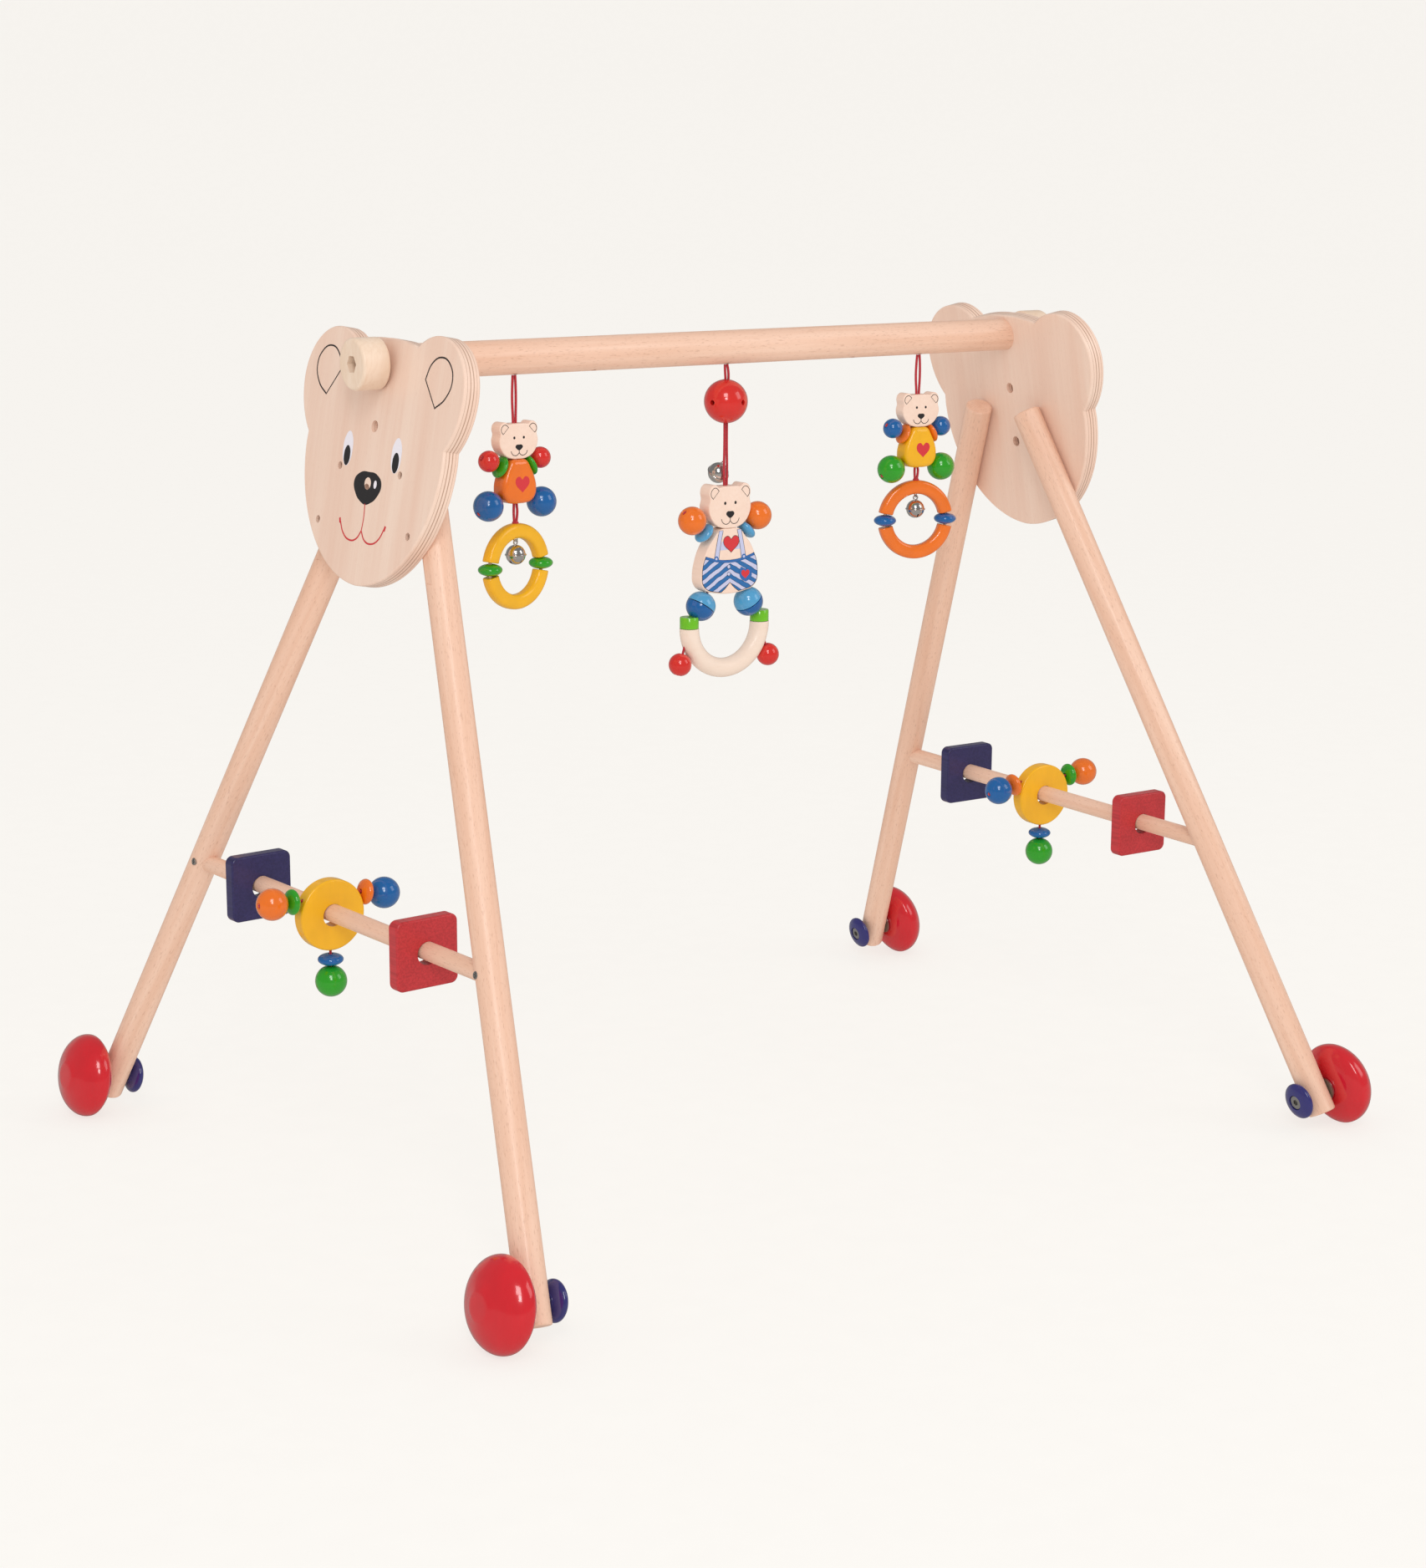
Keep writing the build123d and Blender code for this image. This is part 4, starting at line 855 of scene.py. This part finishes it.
for word, side in SIDES.items():
    strap = in_mm([(side * x, y) for x, y in STRAP])
    clothing(f"strap_{word}", strap, LAVENDER_INK, 2, corners=(0, 1, 3, 4), line=0.3)
    clothing(f"button_ring_{word}", oval(side * 11.8, -20.3, 1.8, 1.8), BLUE_INK, 4)
    clothing(f"button_{word}", oval(side * 11.8, -20.3, 0.9, 0.9), LAVENDER_INK, 5)
clothing("heart", heart(0.9, -10.9, 13.4, 11.6), RED_INK, 3, corners=HEART_CORNERS, line=0.3)
for number, drop in enumerate((26.5, 31.6)):
    clothing(f"stud_{number}", oval(-1.1, -drop, 1.3, 1.3), LAVENDER_INK, 4, line=0.25)
POCKET = [
    (8.3, -29.5), (9.6, -27.2), (13.2, -29.0), (18.8, -29.6), (18.2, -35.2), (13.6, -38.2), (9.2, -35.4)]
clothing("pocket", in_mm(POCKET), BLUE_INK, 3, corners=(1, 3, 5))
clothing("pocket_heart", heart(13.2, -32.8, 7.0, 6.2), RED_INK, 4, corners=HEART_CORNERS)

CENTRE_LENS = bead_profile(7.6 * MM, 3.5 * MM, BEAD_BORE, 0.3 * MM)
CENTRE_BALL = bead_profile(9.9 * MM, 9.9 * MM, BEAD_BORE, 0.9 * MM)
limb("centre_toy", centre, "arm", (15.3, TORSO_TOP + 4.9), (0.739, 0.674),
     [(CENTRE_LENS, 7.0, LIGHT_BLUE), (CENTRE_BALL, 19.8, ORANGE)])
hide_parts("centre_toy_limb_beads")

HALF_RING_DROP = 192.0
HALF_RING_RADIUS = 30.2
HALF_RING_TUBE = 6.8            # radius
RING_WOOD = natural_wood("ring_wood", (1, 0, 0), (0.90, 0.75, 0.65), (0.84, 0.66, 0.54))
upright = centre @ Matrix.Translation((0, 0, -HALF_RING_DROP * MM)) @ Matrix.Rotation(pi / 2, 4, "X")
across = 2 * HALF_RING_TUBE * MM
tube = rounded_section(HALF_RING_RADIUS * MM, across, across, power=2.0)
half_ring = turned("centre_toy_half_ring_wood", tube, upright, body, RING_WOOD, pi, 2 * pi)
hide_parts("centre_toy_half_ring")

LEG_BALL_RADIUS = 10.3
LEG_BALL_GAP = 0.3              # from the joint between the halves to the flat of each
END_BALL = bead_profile(8.0 * MM, 8.0 * MM, BEAD_BORE, 0.9 * MM)
COLLAR = in_mm([(1.5, 0.2), (6.3, 0.2), (6.6, 0.5), (6.6, 7.6), (6.2, 8.2), (1.5, 8.2)])


def half_ball(name, sign, place, material):
    """Half of a two-coloured leg ball, a hair away from the other half."""
    profile = [(BEAD_BORE, sign * LEG_BALL_GAP * MM)]
    steps = 13
    for step in range(steps):
        angle = pi / 2 * step / steps
        height = LEG_BALL_GAP + (LEG_BALL_RADIUS - LEG_BALL_GAP) * sin(angle)
        profile.append((LEG_BALL_RADIUS * cos(angle) * MM, sign * height * MM))
    profile.append((BEAD_BORE, sign * (LEG_BALL_RADIUS - 0.15) * MM))
    if sign < 0:
        profile.reverse()
    made = turned(name, profile, place, body, material)
    rim = made.modifiers.new("rim", "BEVEL")
    rim.width = 0.5 * MM
    rim.segments = 3
    rim.angle_limit = radians(50)


END_BALL_STAND_OFF = 8.2        # from the half ring's outside to the middle of an end ball


def centre_leg(side, word):
    """Leg ball, collar on the ring's end, end ball and the cord through them all."""
    reach = HALF_RING_RADIUS + HALF_RING_TUBE + END_BALL_STAND_OFF
    angle = radians(33)
    end_ball = Vector((side * reach * cos(angle), 0, -HALF_RING_DROP - reach * sin(angle)))
    collar = Vector((side * (HALF_RING_RADIUS - 1), 0, -HALF_RING_DROP + 3.8))
    ball = Vector((side * 20.5, 0, -177.2))
    root = Vector((side * 13, 0, -TORSO_TOP - 41))
    ball_place = centre @ along(ball * MM, (collar - root).normalized())
    half_ball(f"centre_toy_leg_upper_{word}", -1, ball_place, LIGHT_BLUE)
    half_ball(f"centre_toy_leg_lower_{word}", 1, ball_place, BLUE)
    foot = centre @ Matrix.Translation((side * HALF_RING_RADIUS * MM, 0, -HALF_RING_DROP * MM))
    turned(f"centre_toy_collar_{word}", COLLAR, foot, body, LIME)
    outward = (end_ball - collar).normalized()
    ball_end = centre @ along(end_ball * MM, outward)
    turned(f"centre_toy_end_ball_{word}", END_BALL, ball_end, body, BEAD_RED)
    tip = centre @ along((end_ball + outward * 6.6) * MM, outward)
    knot(f"centre_toy_end_knot_{word}", tip, body, LIMB_KNOT)
    route = [
        root, root.lerp(ball, 0.5), ball, ball.lerp(collar, 0.5), collar,
        collar.lerp(end_ball, 0.3), collar.lerp(end_ball, 0.7), end_ball]
    hanging_cord(f"centre_toy_leg_cord_{word}", [tuple(point) for point in route], centre, body)


for word, side in SIDES.items():
    centre_leg(side, word)

# ---------------------------------------------------------------- floor and light

def dimmed_in_reflections(tree, direct, reflected):
    """A strength that is lower in reflections, as dark flags beside a glossy object make it."""
    glossy = add(tree, "ShaderNodeLightPath").outputs["Is Glossy Ray"]
    strength = add(tree, "ShaderNodeMapRange", {"Value": glossy, "To Min": direct, "To Max": reflected})
    return strength.outputs["Result"]


FLOOR_HALF_WIDTH = 14.0
# distance away from the camera and height: level under the gym, then rising in a soft sweep behind it
FLOOR_ROWS = [(-6.0, 0.0), (7.0, 0.0), (8.5, 0.25), (9.6, 0.9), (10.2, 2.0), (10.4, 5.0)]

points = []
for distance, height in FLOOR_ROWS:
    points += [(-FLOOR_HALF_WIDTH, distance, height), (FLOOR_HALF_WIDTH, distance, height)]
faces = [(2 * i, 2 * i + 1, 2 * i + 3, 2 * i + 2) for i in range(len(FLOOR_ROWS) - 1)]
floor_data = bpy.data.meshes.new("floor")
floor_data.from_pydata(points, [], faces)
floor_data.shade_smooth()
floor = bpy.data.objects.new("floor", floor_data)
bpy.context.scene.collection.objects.link(floor)
floor.rotation_euler = (0, 0, CAMERA_YAW)
floor_material, floor_tree, floor_shader = new_material("paper_floor", 0.9)
floor_shader.inputs["Specular IOR Level"].default_value = 0.1
paper = noise(floor_tree, coordinates(floor_tree), 40.0, 3.0)
shade = mix(floor_tree, paper, (0.20, 0.194, 0.187), (0.22, 0.214, 0.206))
floor_tree.links.new(shade, floor_shader.inputs["Base Color"])
floor_shader.inputs["Emission Color"].default_value = (0.98, 0.955, 0.915, 1)
glow = dimmed_in_reflections(floor_tree, 0.76, 0.15)
floor_tree.links.new(glow, floor_shader.inputs["Emission Strength"])
floor_data.materials.append(floor_material)

world = bpy.data.worlds.new("studio")
world.use_nodes = True
world.node_tree.nodes["Background"].inputs["Color"].default_value = (0.98, 0.97, 0.95, 1)
sky = dimmed_in_reflections(world.node_tree, 0.85, 0.22)
world.node_tree.links.new(sky, world.node_tree.nodes["Background"].inputs["Strength"])
bpy.context.scene.world = world


def softbox(name, location, target, size, power):
    data = bpy.data.lights.new(name, "AREA")
    data.shape = "RECTANGLE"
    data.size, data.size_y = size
    data.energy = power
    light = bpy.data.objects.new(name, data)
    bpy.context.scene.collection.objects.link(light)
    light.location = location
    light.rotation_euler = (Vector(target) - Vector(location)).to_track_quat("-Z", "Y").to_euler()


softbox("key", (-1.6, -2.2, 2.6), (0, 0, 0.3), (1.1, 1.1), 20)
softbox("front", (-1.35, -2.1, 1.35), (-0.2, -0.2, 0.2), (0.5, 0.5), 7)
softbox("fill", (1.8, -2.0, 1.8), (0, 0, 0.3), (1.2, 1.6), 9)
bpy.context.scene.view_settings.view_transform = "Standard"
